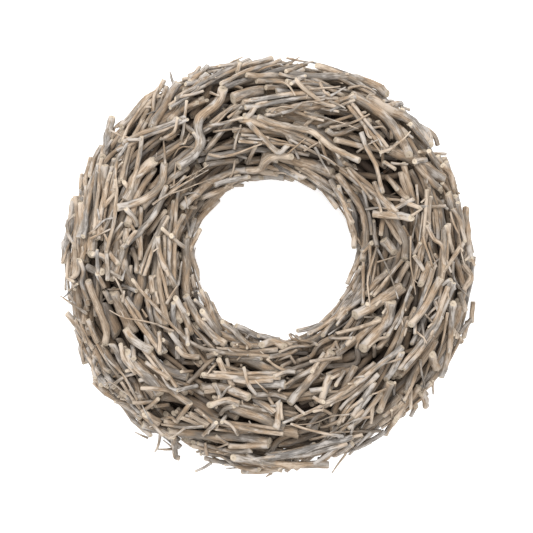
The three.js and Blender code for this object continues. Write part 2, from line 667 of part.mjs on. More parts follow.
// Looks over the face and lays a branch wherever none lies yet.
const LOOK_STEP = 10;
const LOOK_ROWS = [40, 65, 90, 115, 140];
const LOOK_DEPTH = 16;
const BARE = 5;
function layBare(kind, tries) {
  for (let angle = 0; angle < 360; angle += LOOK_STEP) {
    for (const around of LOOK_ROWS) {
      const p = surfacePoint(angle * RADIANS, around * RADIANS, LOOK_DEPTH);
      const spot = { a: p, b: add(p, [0.1, 0, 0]), r: 0 };
      const near = pile.some(({ links }) => links.some((link) => linkDistance(spot, link) < link.r + BARE));
      if (!near) layOne({ ...kind, spread: [4, 6] }, angle * RADIANS, around * RADIANS, tries);
    }
  }
}

layRows(KINDS.under, 7, [20, 160, 90, 55, 125, -25], 60);
layRows(KINDS.back, 11, [270, 235, 305], 60);
layRows(KINDS.middle, 5, [60, 95, 130, 25, 155], 60);
SEEN.forEach(laySeen);
layBare(KINDS.middle, 40);
layRows(KINDS.outer, 7, [0, -30, 20, 185, -15], 60);
layRows(KINDS.tip, 8, [20], 60);

// Solids.

// A limb as a closed tube: a cylinder whose rings are carried onto the chain's points.
function limbSolid({ points, radii }) {
  const thick = Math.max(...radii);
  const sides = thick > 6.8 ? 6 : thick > 3.2 ? 5 : 4;
  const steps = points.length - 1;
  const tube = new THREE.CylinderGeometry(1, 1, 1, sides, steps);
  tube.deleteAttribute("normal");
  tube.deleteAttribute("uv");
  const place = tube.getAttribute("position");
  const rings = [];
  let side = null;
  for (let i = 0; i <= steps; i++) {
    const before = points[Math.max(i - 1, 0)];
    const after = points[Math.min(i + 1, steps)];
    const along = unit(minus(after, before));
    if (!side) side = cross([0, 0, 1], along);
    side = unit(minus(side, times(along, dot(side, along))));
    rings.push({ side, other: cross(along, side) });
  }
  for (let v = 0; v < place.count; v++) {
    const i = Math.round((place.getY(v) + 0.5) * steps);
    const { side: s, other } = rings[i];
    const across = add(times(s, place.getX(v) * radii[i]), times(other, -place.getZ(v) * radii[i]));
    const p = add(points[i], across);
    place.setXYZ(v, p[0], p[1], p[2]);
  }
  return solidOf(tube);
}

function solidOf(geometry) {
  const merged = mergeVertices(geometry, 1e-3);
  const made = new wasm.Manifold(
    new wasm.Mesh({
      numProp: 3,
      vertProperties: new Float32Array(merged.getAttribute("position").array),
      triVerts: new Uint32Array(merged.index.array),
    }),
  );
  return made;
}

function geometryOf(solid) {
  const mesh = solid.getMesh();
  return new THREE.BufferGeometry()
    .setAttribute("position", new THREE.BufferAttribute(mesh.vertProperties, 3))
    .setIndex(new THREE.BufferAttribute(mesh.triVerts, 1));
}

// The hoop: a flat oval section with a low bulge for each rod, turned round the wreath's middle.
function hoopGeometry() {
  const outline = [];
  for (let i = 0; i <= HOOP_SECTION_POINTS; i++) {
    const a = (i / HOOP_SECTION_POINTS) * 2 * Math.PI;
    const edge = HOOP_EDGE + (i % 2 ? HOOP_ROD_BULGE : 0);
    const flat = Math.sign(Math.round(Math.cos(a) * 1e6)) * HOOP_HALF_FLAT;
    outline.push(new THREE.Vector2(HOOP_RADIUS + flat + edge * Math.cos(a), edge * Math.sin(a)));
  }
  outline[HOOP_SECTION_POINTS] = outline[0].clone();
  const hoop = new THREE.LatheGeometry(outline, HOOP_SEGMENTS);
  hoop.deleteAttribute("normal");
  hoop.deleteAttribute("uv");
  hoop.rotateX(Math.PI / 2);
  hoop.translate(HOOP_CENTRE[0], HOOP_CENTRE[1], MIDDLE_HEIGHT);
  return hoop;
}

// The scene graph.

const rodWood = new THREE.MeshStandardMaterial({ color: 0x6b5a49, roughness: 0.9, metalness: 0 });
const branchWood = new THREE.MeshStandardMaterial({ color: 0xa8927c, roughness: 0.85, metalness: 0 });

const wreath = new THREE.Group();

const hoop = new THREE.Mesh(hoopGeometry(), rodWood);
hoop.name = "rod_hoop";
wreath.add(hoop);

for (let bunch = 0; bunch < BUNCHES; bunch++) {
  const tubes = pile
    .filter((piled) => piled.bunch === bunch)
    .flatMap((piled) => piled.limbs.map(limbSolid));
  const joined = wasm.Manifold.union(tubes).trimByPlane([0, 0, 1], 0);
  if (joined.decompose().length > 1) throw new Error("a branch lies loose in bunch " + (bunch + 1));
  const mesh = new THREE.Mesh(geometryOf(joined), branchWood);
  mesh.name = "branch_bunch_" + String(bunch + 1).padStart(2, "0");
  wreath.add(mesh);
}

export default wreath;
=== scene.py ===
# A wreath of cut, weathered branches bound round a hoop of rods. It lies on its back and is looked at from
# straight above, with +Y up in the picture. The rule that lays the branches works in millimetres, and every
# mesh is in metres.
import math

import bmesh
import bpy
import numpy as np
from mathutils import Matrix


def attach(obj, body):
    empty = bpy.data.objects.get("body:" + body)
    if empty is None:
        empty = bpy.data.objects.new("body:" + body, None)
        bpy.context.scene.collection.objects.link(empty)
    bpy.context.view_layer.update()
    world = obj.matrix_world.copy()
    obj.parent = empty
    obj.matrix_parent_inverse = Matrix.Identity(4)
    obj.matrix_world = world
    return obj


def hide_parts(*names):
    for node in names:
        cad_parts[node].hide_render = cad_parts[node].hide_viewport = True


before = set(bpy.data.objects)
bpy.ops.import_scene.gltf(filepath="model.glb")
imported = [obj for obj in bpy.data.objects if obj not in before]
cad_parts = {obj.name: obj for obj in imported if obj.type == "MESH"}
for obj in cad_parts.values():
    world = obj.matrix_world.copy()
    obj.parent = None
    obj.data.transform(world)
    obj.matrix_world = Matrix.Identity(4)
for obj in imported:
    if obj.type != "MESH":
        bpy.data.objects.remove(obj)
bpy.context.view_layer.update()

# The hoop: long dark rods laid side by side round a flat oval core, each a third of the way round, with the
# ends tucked under the next. They are thin unpeeled shoots, and ties of twisted wire hold them together.
MM = 0.001
HOOP_CENTRE = (4.5, 5.5)
HOOP_RADIUS = 171
HOOP_HEIGHT = 46
HOOP_HALF_FLAT = 10
HOOP_EDGE = 29
ROD_LAYERS = ((21, 0), (13, 8.5))
ROD_PARTS = 3
ROD_TURN = math.radians(128)
ROD_RADIUS = (3.8, 4.9)
ROD_POINTS = 15
ROD_TUCK = 3.5
ROD_BELOW = 0.4
ROD_DRIFT = 0.1
CUT_BEVEL = {"thickness": 0.13, "depth": 0.1}
CUT_MIDDLE = {"thickness": 0.4, "depth": 0.03}
BARK_FROM = 0.92
BLANKS = {}


def bar_blank(sides, rings, cut):
    """A straight closed bar of radius one, with its rings a unit apart, and how each corner lies on it."""
    if (sides, rings, cut) in BLANKS:
        return BLANKS[sides, rings, cut]
    bm = bmesh.new()
    bmesh.ops.create_cone(bm, cap_ends=True, segments=sides, radius1=1, radius2=1, depth=rings)
    bmesh.ops.translate(bm, verts=bm.verts, vec=(0, 0, rings / 2))
    long_edges = [e for e in bm.edges if abs(e.verts[0].co.z - e.verts[1].co.z) > rings / 2]
    if rings > 1:
        bmesh.ops.subdivide_edges(bm, edges=long_edges, cuts=rings - 1, use_grid_fill=True)
    ends = [f for f in bm.faces if len(f.verts) == sides]
    for f in bm.faces:
        f.smooth = True
    if cut:
        bmesh.ops.inset_region(bm, faces=ends, use_even_offset=True, **CUT_BEVEL)
        for end in ends:
            for e in end.edges:
                e.smooth = False
        bmesh.ops.inset_region(bm, faces=ends, use_even_offset=True, **CUT_MIDDLE)
    bmesh.ops.poke(bm, faces=ends)
    for f in bm.faces:
        if all(v.co.xy.length < BARK_FROM for v in f.verts):
            f.material_index = 1
    bmesh.ops.recalc_face_normals(bm, faces=bm.faces)
    mesh = bpy.data.meshes.new("blank")
    bm.to_mesh(mesh)
    bm.free()
    mesh.attributes.new("grain", "FLOAT_VECTOR", "POINT")
    mesh.attributes.new("finish_and_shade", "FLOAT_COLOR", "POINT")
    corners = np.empty(len(mesh.vertices) * 3)
    mesh.vertices.foreach_get("co", corners)
    x, y, z = corners.reshape(-1, 3).T
    ring = np.clip(np.round(z), 0, rings).astype(int)
    BLANKS[sides, rings, cut] = mesh, ring, np.arctan2(y, x), np.hypot(x, y), z - np.clip(z, 0, rings)
    return BLANKS[sides, rings, cut]


CURVE_STEPS = 8


def even_line(points, radii, steps):
    """A smooth line through a chain's points, in even steps, with its radii."""
    p = np.array(points, float)
    if len(p) > 2:
        ends = np.vstack([2 * p[0] - p[1], p, 2 * p[-1] - p[-2]])
        share = np.linspace(0, 1, CURVE_STEPS + 1)[:-1, None]
        dense = []
        for a, b, c, d in zip(ends, ends[1:], ends[2:], ends[3:]):
            curve = (2 * b + (c - a) * share + (2 * a - 5 * b + 4 * c - d) * share**2
                     + (3 * b - a - 3 * c + d) * share**3) / 2
            dense.append(curve)
        dense.append(p[-1:])
        dense = np.vstack(dense)
        where = np.arange(len(dense)) / CURVE_STEPS
    else:
        dense, where = p, np.arange(2.0)
    lengths = np.r_[0, np.cumsum(np.linalg.norm(np.diff(dense, axis=0), axis=1))]
    at = np.linspace(0, lengths[-1], steps + 1)
    line = np.stack([np.interp(at, lengths, dense[:, k]) for k in range(3)], axis=1)
    return line, np.interp(np.interp(at, lengths, where), np.arange(len(p)), radii), at


def directions(line, up=None):
    """The directions along a line and across it, both ways, at each of its points."""
    along = np.gradient(line, axis=0)
    along /= np.linalg.norm(along, axis=1)[:, None]
    if up is None:
        overall = line[-1] - line[0]
        up = np.cross(overall, np.eye(3)[np.argmin(np.abs(overall))])
    side = up - along * (along @ up)[:, None]
    side /= np.linalg.norm(side, axis=1)[:, None]
    return along, side, np.cross(along, side)


NODE_SPACING = (17, 30)
NODE_SWELL = (0.2, 1)
NODE_LENGTH = 0.9
CALM_END = 12
CALM_SHARE = 0.25
SLOW_SWELL = 0.05
LOBE_SHARE = 0.7
LOBE_TWISTS = (0.03, 0.05)
ANY_TURN = 6.28
KNOT_WIDTH = 0.8
SLANT_ROOM = 1.4
SLANT_ROOM_SHORT = 0.6
SLANT_BESIDE = 0.45
SAW_ROUGHNESS = 0.045
SAWN_WITHIN = 0.95
WORN_LENGTH = 9
DARKEST_DEPTH = 27
GRAIN_SPREAD = 400


def bar(bm, points, radii, look, wood, sides=8, step=7.0, cut=True, crook=0.0, swell=0.0, lobes=0.04,
        tilts=(0, 0), upturned=False, knots=(), up=None, least=2, worn=(0.0, 0.0)):
    """Carries a blank bar onto a chain of points, in millimetres, and adds it to a piece.

    It turns a little and swells at its nodes, and has soft lobes, lumps at the knots and slanted ends. Two
    attributes carry its looks: grain, a place on the branch, and a second with its hue, its depth under the
    skin, which the materials turn into painted shade, its wear and the distance off its middle.
    """
    length = np.linalg.norm(np.diff(np.array(points, float), axis=0), axis=1).sum()
    rings = max(least, int(round(length / step)))
    blank, ring, angle, share, cap = bar_blank(sides, rings, cut)
    line, radius, at = even_line(points, radii, rings)
    along, side, other = directions(line, up)
    spacing = wood.uniform(*NODE_SPACING)
    joints = np.arange(-1, length / spacing + 2) * spacing + wood.uniform(0, spacing)
    if crook:
        off = wood.uniform(-crook, crook, (len(joints), 2))
        calm = np.clip(np.minimum(at, length - at) / CALM_END, CALM_SHARE, 1)
        line = line + side * (np.interp(at, joints, off[:, 0]) * calm)[:, None]
        line = line + other * (np.interp(at, joints, off[:, 1]) * calm)[:, None]
    swells = np.exp(-((at[:, None] - joints[None]) / (NODE_LENGTH * radius[:, None])) ** 2)
    radius = radius * (1 + swell * (swells * wood.uniform(*NODE_SWELL, len(joints))).sum(1))
    slow = wood.uniform(-1, 1, rings // 2 + 3)
    radius = radius * (1 + SLOW_SWELL * np.interp(np.arange(rings + 1) / 2, np.arange(len(slow)), slow))
    turn = wood.uniform(0, ANY_TURN, 3)
    r = radius[ring]
    oval_lobe = np.cos(2 * angle + turn[0] + at[ring] * LOBE_TWISTS[0])
    three_lobes = np.cos(3 * angle + turn[1] - at[ring] * LOBE_TWISTS[1])
    r = r * (1 + lobes * (oval_lobe + LOBE_SHARE * three_lobes))
    pale = np.zeros(len(ring))
    for place, way, height, width in knots:
        swing = np.abs((angle - way + math.pi) % (2 * math.pi) - math.pi)
        lump = np.exp(-((at[ring] - place) / width) ** 2 - (swing / KNOT_WIDTH) ** 2)
        r = r + radius[ring] * height * lump
        pale = np.maximum(pale, lump)
    x = share * r * np.cos(angle)
    y = share * r * np.sin(angle)
    push = cap * radius[ring]
    room = (SLANT_ROOM if rings > 2 else SLANT_ROOM_SHORT) * length / rings
    for end, tilt, sign in ((0, tilts[0], -1), (rings, tilts[1], 1)):
        here = ring == end
        way = (side[end, 2], other[end, 2]) if upturned else (math.cos(turn[2]), math.sin(turn[2]))
        slant = np.clip(-sign * tilt * (x * way[0] + y * way[1]), -room, room)
        push[here] += slant[here]
        if rings > 2:
            beside = ring == end - sign
            push[beside] += SLANT_BESIDE * slant[beside]
        rough = wood.normal(0, SAW_ROUGHNESS, here.sum()) * radius[end]
        push[here] += np.where((share[here] < SAWN_WITHIN) & cut, rough, 0)
    place = line[ring] + side[ring] * x[:, None] + other[ring] * y[:, None] + along[ring] * push[:, None]
    place[:, 2] = np.maximum(place[:, 2], 0)
    ends = np.stack([at / WORN_LENGTH, (length - at) / WORN_LENGTH])
    bare = np.maximum(worn[0] * np.exp(-ends[0]), worn[1] * np.exp(-ends[1]))[ring]
    finish_and_shade = np.empty((len(ring), 4))
    finish_and_shade[:, 0] = look
    # The depth under the skin, which the materials turn into painted shade.
    finish_and_shade[:, 1] = np.clip(depth_of(place) / DARKEST_DEPTH, 0, 1)
    finish_and_shade[:, 2] = np.clip(np.maximum(pale, bare), 0, 1)
    finish_and_shade[:, 3] = share
    shift = wood.uniform(-GRAIN_SPREAD, GRAIN_SPREAD, 3)
    grain = np.stack([x, y, at[ring] + push], axis=1) + shift
    blank.vertices.foreach_set("co", (place * MM).ravel())
    blank.attributes["grain"].data.foreach_set("vector", (grain * MM).ravel())
    blank.attributes["finish_and_shade"].data.foreach_set("color", finish_and_shade.ravel())
    bm.from_mesh(blank)
    return line, side, other, along, radius, at


OUTER_RADIUS = 243
OUTER_CENTRE = (1, 1)
HOLE_RADIUS = 99
HOLE_CENTRE = (8, 10)
MIDDLE_HEIGHT = 46
FACE_RISE = 62
BACK_DROP = 45
SECTION_POWER = 2.6
SECTION_DEPTH = 58


def edge_reach(angles, centre, radius):
    """How far a circle's edge is from the origin, in the directions of some angles."""
    c, s = np.cos(angles), np.sin(angles)
    return centre[0] * c + centre[1] * s + np.sqrt(radius**2 - (centre[0] * s - centre[1] * c) ** 2)


def depth_of(place):
    """About how far points lie under the skin of the ring of branches."""
    x, y, height = place[..., 0], place[..., 1], place[..., 2] - MIDDLE_HEIGHT
    angle = np.arctan2(y, x)
    inner = edge_reach(angle, HOLE_CENTRE, HOLE_RADIUS)
    outer = edge_reach(angle, OUTER_CENTRE, OUTER_RADIUS)
    half = (outer - inner) / 2
    across = np.abs(np.hypot(x, y) - inner - half) / half
    over = np.abs(height) / np.where(height > 0, FACE_RISE, BACK_DROP)
    return (1 - (across**SECTION_POWER + over**SECTION_POWER) ** (1 / SECTION_POWER)) * SECTION_DEPTH


OVAL_TURN = 3


def oval(angle, around, distance):
    """A place off the hoop's middle line, in the direction of an angle round its flat oval section."""
    flat = HOOP_HALF_FLAT * np.tanh(OVAL_TURN * np.cos(around))
    r = HOOP_RADIUS + flat + distance * np.cos(around)
    z = HOOP_HEIGHT + distance * np.sin(around)
    r, z, angle = np.broadcast_arrays(r, z, angle)
    return np.stack([HOOP_CENTRE[0] + r * np.cos(angle), HOOP_CENTRE[1] + r * np.sin(angle), z], axis=-1)


def finished(name, bm, materials):
    """Makes a piece of a filled mesh, at the origin."""
    mesh = bpy.data.meshes.new(name)
    bm.to_mesh(mesh)
    bm.free()
    piece = bpy.data.objects.new(name, mesh)
    bpy.context.scene.collection.objects.link(piece)
    for material in materials:
        mesh.materials.append(material)
    return piece


def node(tree, kind, out=0, **inputs):
    """Adds a shader node with its inputs set or joined, and gives its output."""
    made = tree.nodes.new(kind)
    for name, value in inputs.items():
        if name.islower():
            setattr(made, name, value)
        elif isinstance(value, bpy.types.NodeSocket):
            tree.links.new(value, made.inputs[name])
        else:
            made.inputs[name].default_value = value
    return made.outputs[out]


def ramp(tree, factor, *stops):
    """A colour ramp between stops of a place and a colour."""
    made = tree.nodes.new("ShaderNodeValToRGB")
    tree.links.new(factor, made.inputs[0])
    band = made.color_ramp
    band.elements[0].position, band.elements[0].color = stops[0][0], (*stops[0][1], 1)
    band.elements[1].position, band.elements[1].color = stops[-1][0], (*stops[-1][1], 1)
    for place, colour in stops[1:-1]:
        band.elements.new(place).color = (*colour, 1)
    return made.outputs[0]


def mixed(tree, factor, first, second):
    """Mixes two colours."""
    made = tree.nodes.new("ShaderNodeMix")
    made.data_type = "RGBA"
    tree.links.new(factor, made.inputs[0])
    for socket, colour in ((made.inputs[6], first), (made.inputs[7], second)):
        if isinstance(colour, bpy.types.NodeSocket):
            tree.links.new(colour, socket)
        else:
            socket.default_value = (*colour, 1)
    return made.outputs[2]


def worked(tree, how, *values):
    """One step of arithmetic on numbers."""
    made = tree.nodes.new("ShaderNodeMath")
    made.operation = how
    for socket, value in zip(made.inputs, values):
        if isinstance(value, bpy.types.NodeSocket):
            tree.links.new(value, socket)
        else:
            socket.default_value = value
    return made.outputs[0]


def total(tree, *parts):
    """A sum of numbers, each times its weight."""
    value, weight = parts[0]
    result = worked(tree, "MULTIPLY", value, weight)
    for value, weight in parts[1:]:
        result = worked(tree, "ADD", result, worked(tree, "MULTIPLY", value, weight))
    return result


def span(tree, value, low, high, to_low=0.0, to_high=1.0):
    """Carries a range of a number onto another range, smoothly."""
    made = tree.nodes.new("ShaderNodeMapRange")
    made.interpolation_type = "SMOOTHSTEP"
    tree.links.new(value, made.inputs[0])
    for k, number in enumerate((low, high, to_low, to_high)):
        made.inputs[k + 1].default_value = number
    return made.outputs[0]


FIBRES = (0.08, 1000, 4)
STREAKS = (0.16, 330, 3)
PATCHES = (0.45, 120, 3)
SPOTS = (0.8, 520, 2)
WARMTH = (0.3, 75, 2)
RING_WANDER = (1.0, 300, 2)
SAW_MARKS = (1.0, 1500, 3)
DUST = (1.0, 170, 2)
RINGS = 26
BARK_GLOSS = 0.25
CUT_GLOSS = 0.2
CUT_ROUGHNESS = 0.85
RELIEF_HEIGHT = 0.0008


def grain_noise(tree, grain, pattern):
    """Noise that follows a branch, of a stretch across the grain, a scale and a detail."""
    stretch, scale, detail = pattern
    place = node(tree, "ShaderNodeMapping", Vector=grain, Scale=(1, 1, stretch))
    return node(tree, "ShaderNodeTexNoise", Vector=place, Scale=scale, Detail=detail, Roughness=0.62)


def wood_material(name):
    """A new material, its shader, and the mesh's grain, distance off the middle, hue, depth (for painted
    shade), wear.
    """
    material = bpy.data.materials.new(name)
    material.use_nodes = True
    tree = material.node_tree
    grain = node(tree, "ShaderNodeAttribute", out="Vector", attribute_name="grain")
    finish_and_shade = tree.nodes.new("ShaderNodeAttribute")
    finish_and_shade.attribute_name = "finish_and_shade"
    parts = tree.nodes.new("ShaderNodeSeparateColor")
    tree.links.new(finish_and_shade.outputs["Color"], parts.inputs[0])
    hue, depth, worn = parts.outputs[0], parts.outputs[1], parts.outputs[2]
    return material, tree.nodes["Principled BSDF"], grain, finish_and_shade.outputs["Alpha"], hue, depth, worn


def set_relief(tree, shader, height, strength):
    """Gives a shader a fine relief."""
    bump = node(tree, "ShaderNodeBump", Strength=strength, Distance=RELIEF_HEIGHT, Height=height)
    tree.links.new(bump, shader.inputs["Normal"])


def bark(name, tones, washes, wash_from, grime_and_shade):
    """Dry bark with long fibres, patches of a thin chalky wash, and painted shade with some grime where it
    lies deep.
    """
    material, shader, grain, _, hue, depth, worn = wood_material(name)
    tree = material.node_tree
    fibres = grain_noise(tree, grain, FIBRES)
    streaks = grain_noise(tree, grain, STREAKS)
    spots = grain_noise(tree, grain, SPOTS)
    warmth = span(tree, grain_noise(tree, grain, WARMTH), 0.36, 0.64, 0, 0.6)
    warm = total(tree, (warmth, 1), (hue, 0.4))
    colour = ramp(tree, warm, *((i / (len(tones) - 1), tone) for i, tone in enumerate(tones)))
    furrow = span(tree, fibres, 0.36, 0.56, 0.5, 0)
    colour = mixed(tree, furrow, colour, grime_and_shade)
    stain = span(tree, total(tree, (streaks, 1), (spots, 0.4)), 0.5, 0.66, 0.22, 0)
    colour = mixed(tree, stain, colour, grime_and_shade)
    patches = grain_noise(tree, grain, PATCHES)
    cover = total(tree, (patches, 0.6), (fibres, 0.4), (worn, 0.16), (depth, -0.12))
    cover = span(tree, cover, wash_from, wash_from + 0.16, 0, 0.85)
    wash = mixed(tree, span(tree, warm, 0.12, 0.85), *washes)
    colour = mixed(tree, cover, colour, wash)
    # Painted shade: the deeper the bark lies under the skin, the nearer its colour comes to the darkest
    # colour given, nine tenths of the way at most.
    colour = mixed(tree, total(tree, (depth, 0.9)), colour, grime_and_shade)
    tree.links.new(colour, shader.inputs["Base Color"])
    tree.links.new(span(tree, fibres, 0.3, 0.7, 0.74, 0.95), shader.inputs["Roughness"])
    shader.inputs["Specular IOR Level"].default_value = BARK_GLOSS
    set_relief(tree, shader, total(tree, (fibres, 0.5), (streaks, 0.7), (spots, 0.35)), 0.55)
    return material


def cut_wood(name, pale, ring_tone, rim_and_shade):
    """A sawn or snipped end: pale wood with faint rings, a small dark pith, a dark rim under the bark, and
    painted shade where it lies deep.
    """
    material, shader, grain, share, _, depth, _ = wood_material(name)
    tree = material.node_tree
    wander = grain_noise(tree, grain, RING_WANDER)
    rings = total(tree, (share, 1), (wander, 0.35))
    rings = worked(tree, "SINE", worked(tree, "MULTIPLY", rings, RINGS))
    saw = grain_noise(tree, grain, SAW_MARKS)
    tone = total(tree, (rings, 0.16), (saw, 0.9))
    colour = mixed(tree, span(tree, tone, 0.15, 0.85), ring_tone, pale)
    pith = span(tree, share, 0.1, 0.22, 0.7, 0)
    under_bark = span(tree, share, 0.8, 0.97, 0, 0.6)
    dust = span(tree, grain_noise(tree, grain, DUST), 0.42, 0.62, 0, 0.3)
    # The pith, the rim under the bark and the dust darken the end towards the dark colour given, and so does
    # a painted shade that grows with the depth under the skin.
    for amount in (pith, under_bark, dust, total(tree, (depth, 0.75))):
        colour = mixed(tree, amount, colour, rim_and_shade)
    tree.links.new(colour, shader.inputs["Base Color"])
    shader.inputs["Roughness"].default_value = CUT_ROUGHNESS
    shader.inputs["Specular IOR Level"].default_value = CUT_GLOSS
    set_relief(tree, shader, total(tree, (rings, 0.2), (saw, 1)), 0.4)
    return material


# The rods' dark tones are partly their own colour and partly painted shade for the gaps between the
# branches. Because they lie deep, the bark's painted shade turns them nearly black.
rod_bark = bark("rod_bark", [(0.07, 0.045, 0.03), (0.12, 0.08, 0.055), (0.17, 0.125, 0.09)],
                ((0.25, 0.22, 0.19), (0.29, 0.22, 0.17)), 0.6, (0.03, 0.02, 0.014))
rod_end = cut_wood("rod_end", (0.3, 0.23, 0.15), (0.2, 0.14, 0.09), (0.08, 0.05, 0.03))
wood = np.random.default_rng(7)
rods = bmesh.new()
from_end = np.minimum(np.arange(ROD_POINTS), np.arange(ROD_POINTS)[::-1])
tuck = np.clip(1 - from_end / 2, 0, 1) * ROD_TUCK
for layer, (count, sunk) in enumerate(ROD_LAYERS):
    for place in range(count):
        start = wood.uniform(0, 2 * math.pi)
        for part in range(ROD_PARTS):
            radius = wood.uniform(*ROD_RADIUS)
            first = start + part * 2 * math.pi / ROD_PARTS
            turn = np.linspace(first, first + ROD_TURN, ROD_POINTS)
            drift = wood.uniform(-ROD_DRIFT, ROD_DRIFT)
            drift = drift * np.sin(np.linspace(0, wood.uniform(2, 5), ROD_POINTS))
            around = (place + 0.5 * layer) / count * 2 * math.pi + drift
            line = oval(turn, around, HOOP_EDGE - ROD_BELOW - radius - sunk - tuck)
            bar(rods, line, np.full(ROD_POINTS, radius), wood.uniform(), wood, sides=7, step=9.5,
                crook=0.5, swell=0.12, up=np.array([0, 0, 1.0]), worn=(0.3, 0.3), lobes=0.03)
hoop_rods = finished("hoop_rods", rods, (rod_bark, rod_end))
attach(hoop_rods, "root")
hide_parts("rod_hoop")

# The ties: two turns of thin, dull wire pulled tight round the rods, at every twelfth of the way, with the
# ends twisted together at the back.
TIES = 12
FIRST_TIE = math.radians(8)
TIE_POINTS = 49
TIE_SLANT = 0.02
TIE_ABOVE = 0.4
WIRE_RADIUS = 0.75
WIRE_DARK = (0.07, 0.065, 0.06)
WIRE_RUST = (0.16, 0.09, 0.05)
TAIL_POINTS = 11
TAIL_LENGTH = 9
TAIL_TWIST = 11
TAIL_OFF = 0.8
TAIL_DROP = 0.9
TAIL_ABOVE = 0.2
wire = bpy.data.materials.new("tie_wire")
wire.use_nodes = True
wire_tree = wire.node_tree
wire_shader = wire_tree.nodes["Principled BSDF"]
place = node(wire_tree, "ShaderNodeTexCoord", out="Object")
rust = node(wire_tree, "ShaderNodeTexNoise", Vector=place, Scale=260, Detail=3)
wire_tree.links.new(ramp(wire_tree, rust, (0.35, WIRE_DARK), (0.7, WIRE_RUST)),
                    wire_shader.inputs["Base Color"])
wire_tree.links.new(span(wire_tree, rust, 0.35, 0.7, 0.4, 0.8), wire_shader.inputs["Roughness"])
wire_shader.inputs["Metallic"].default_value = 0.8
ties = bmesh.new()
for tie in range(TIES):
    middle = FIRST_TIE + tie * 2 * math.pi / TIES
    around = np.linspace(-math.pi / 2, 3.5 * math.pi, TIE_POINTS)
    turn = middle + np.linspace(-0.5, 0.5, TIE_POINTS) * TIE_SLANT
    line = oval(turn, around, HOOP_EDGE + TIE_ABOVE)
    bar(ties, line, np.full(TIE_POINTS, WIRE_RADIUS), 0.5, wood, sides=6, step=7.7, cut=False, lobes=0,
        up=np.array([-math.sin(middle), math.cos(middle), 0]))
    foot = oval(middle, -math.pi / 2, HOOP_EDGE + TAIL_ABOVE)
    s = np.linspace(0, 1, TAIL_POINTS)
    for strand in range(2):
        swing = s * TAIL_TWIST + strand * math.pi
        out = s * TAIL_LENGTH
        tail = foot + np.stack([np.cos(swing) * TAIL_OFF + out * math.cos(middle), out * math.sin(middle),
                                np.sin(swing) * TAIL_OFF - TAIL_DROP], axis=1)
        bar(ties, tail, np.full(TAIL_POINTS, WIRE_RADIUS), 0.5, wood, sides=6, step=1.2, cut=False, lobes=0)
hoop_ties = finished("hoop_ties", ties, (wire, wire))
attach(hoop_ties, "root")

# The branches: 24 bunches round the hoop, of lengths cut from crooked, weathered shoots with the bark on,
# that press into one another where they cross. The first of each bunch is bound to the hoop, three of these
# at the back are the feet, and those that show most in the picture lie where it shows them.
OUTER_REACH = 253.5
OPEN_RADIUS = 87
OPEN_SQUARE = 67
OPEN_STEPS = 24
FACE_ROUNDNESS = 2.3
BACK_ROUNDNESS = 3.4
HOOP_ROD_BULGE = 1.2
BUNCHES = 24
BUNCH_REACH = 27
CLEARANCE = 0.45
FLAT_LOSS = 0.19
END_SHARE = 0.8
LEAST_SINK = 0.6
MOST_SINK = 5.5
FLOOR_CLEARANCE = 1.2
FOOT_SINK = 1.15
FOOT_THICKNESS = 16.6
BOUND_THICKNESS = (13.8, 15.2)
MM_PER_PIXEL = 1.2
PICTURE_MIDDLE = (267.5, 265)
LENS_DISTANCE = 2000
SMALL_BEND = 2.5
DRAW_SEED = 10
RADIANS = math.pi / 180


def seeded(state):
    """Even draws between 0 and 1, the same each time."""
    while True:
        state = (state * 1664525 + 1013904223) % 4294967296
        yield state / 4294967296


draw = seeded(DRAW_SEED).__next__


def between(low, high):
    return low + (high - low) * draw()


def either_way(most):
    return between(-most, most)


def add(a, b):
    return (a[0] + b[0], a[1] + b[1], a[2] + b[2])


def minus(a, b):
    return (a[0] - b[0], a[1] - b[1], a[2] - b[2])


def times(a, k):
    return (a[0] * k, a[1] * k, a[2] * k)


def dot(a, b):
    return a[0] * b[0] + a[1] * b[1] + a[2] * b[2]


def cross(a, b):
    return (a[1] * b[2] - a[2] * b[1], a[2] * b[0] - a[0] * b[2], a[0] * b[1] - a[1] * b[0])


def unit(a):
    return times(a, 1 / math.sqrt(dot(a, a)))


def edge_at(angle, centre, radius):
    """Distance from the origin to a circle's edge, in the direction of an angle."""
    c = math.cos(angle)
    s = math.sin(angle)
    off = centre[0] * s - centre[1] * c
    return centre[0] * c + centre[1] * s + math.sqrt(radius * radius - off * off)


def section_at(angle):
    """The ring's section at an angle round the wreath: where its middle is, and its half width."""
    inner = edge_at(angle, HOLE_CENTRE, HOLE_RADIUS)
    outer = edge_at(angle, OUTER_CENTRE, OUTER_RADIUS)
    return (inner + outer) / 2, (outer - inner) / 2


def surface_point(angle, around, depth):
    """A point on or under the ring's surface: around is 0 outside, 90 at the face, 180 at the hole."""
    middle, half = section_at(angle)
    c = math.cos(around)
    s = math.sin(around)
    power = FACE_ROUNDNESS if s >= 0 else BACK_ROUNDNESS
    rise = FACE_RISE if s >= 0 else BACK_DROP
    k = math.pow(math.pow(abs(c), power) + math.pow(abs(s), power), -1 / power)
    r = middle + k * c * (half - depth)
    z = MIDDLE_HEIGHT + k * s * (rise - depth)
    return (r * math.cos(angle), r * math.sin(angle), z)


SMALL_STEP = 0.01


def surface_frame(angle, around, depth):
    """Three directions there: clockwise along the ring, across towards the hole, and in from its surface."""
    here = surface_point(angle, around, depth)
    clockwise = unit(minus(surface_point(angle - SMALL_STEP, around, depth), here))
    across = unit(minus(surface_point(angle, around + SMALL_STEP, depth), here))
    inwards = unit(cross(clockwise, across))
    return here, clockwise, cross(inwards, clockwise), inwards


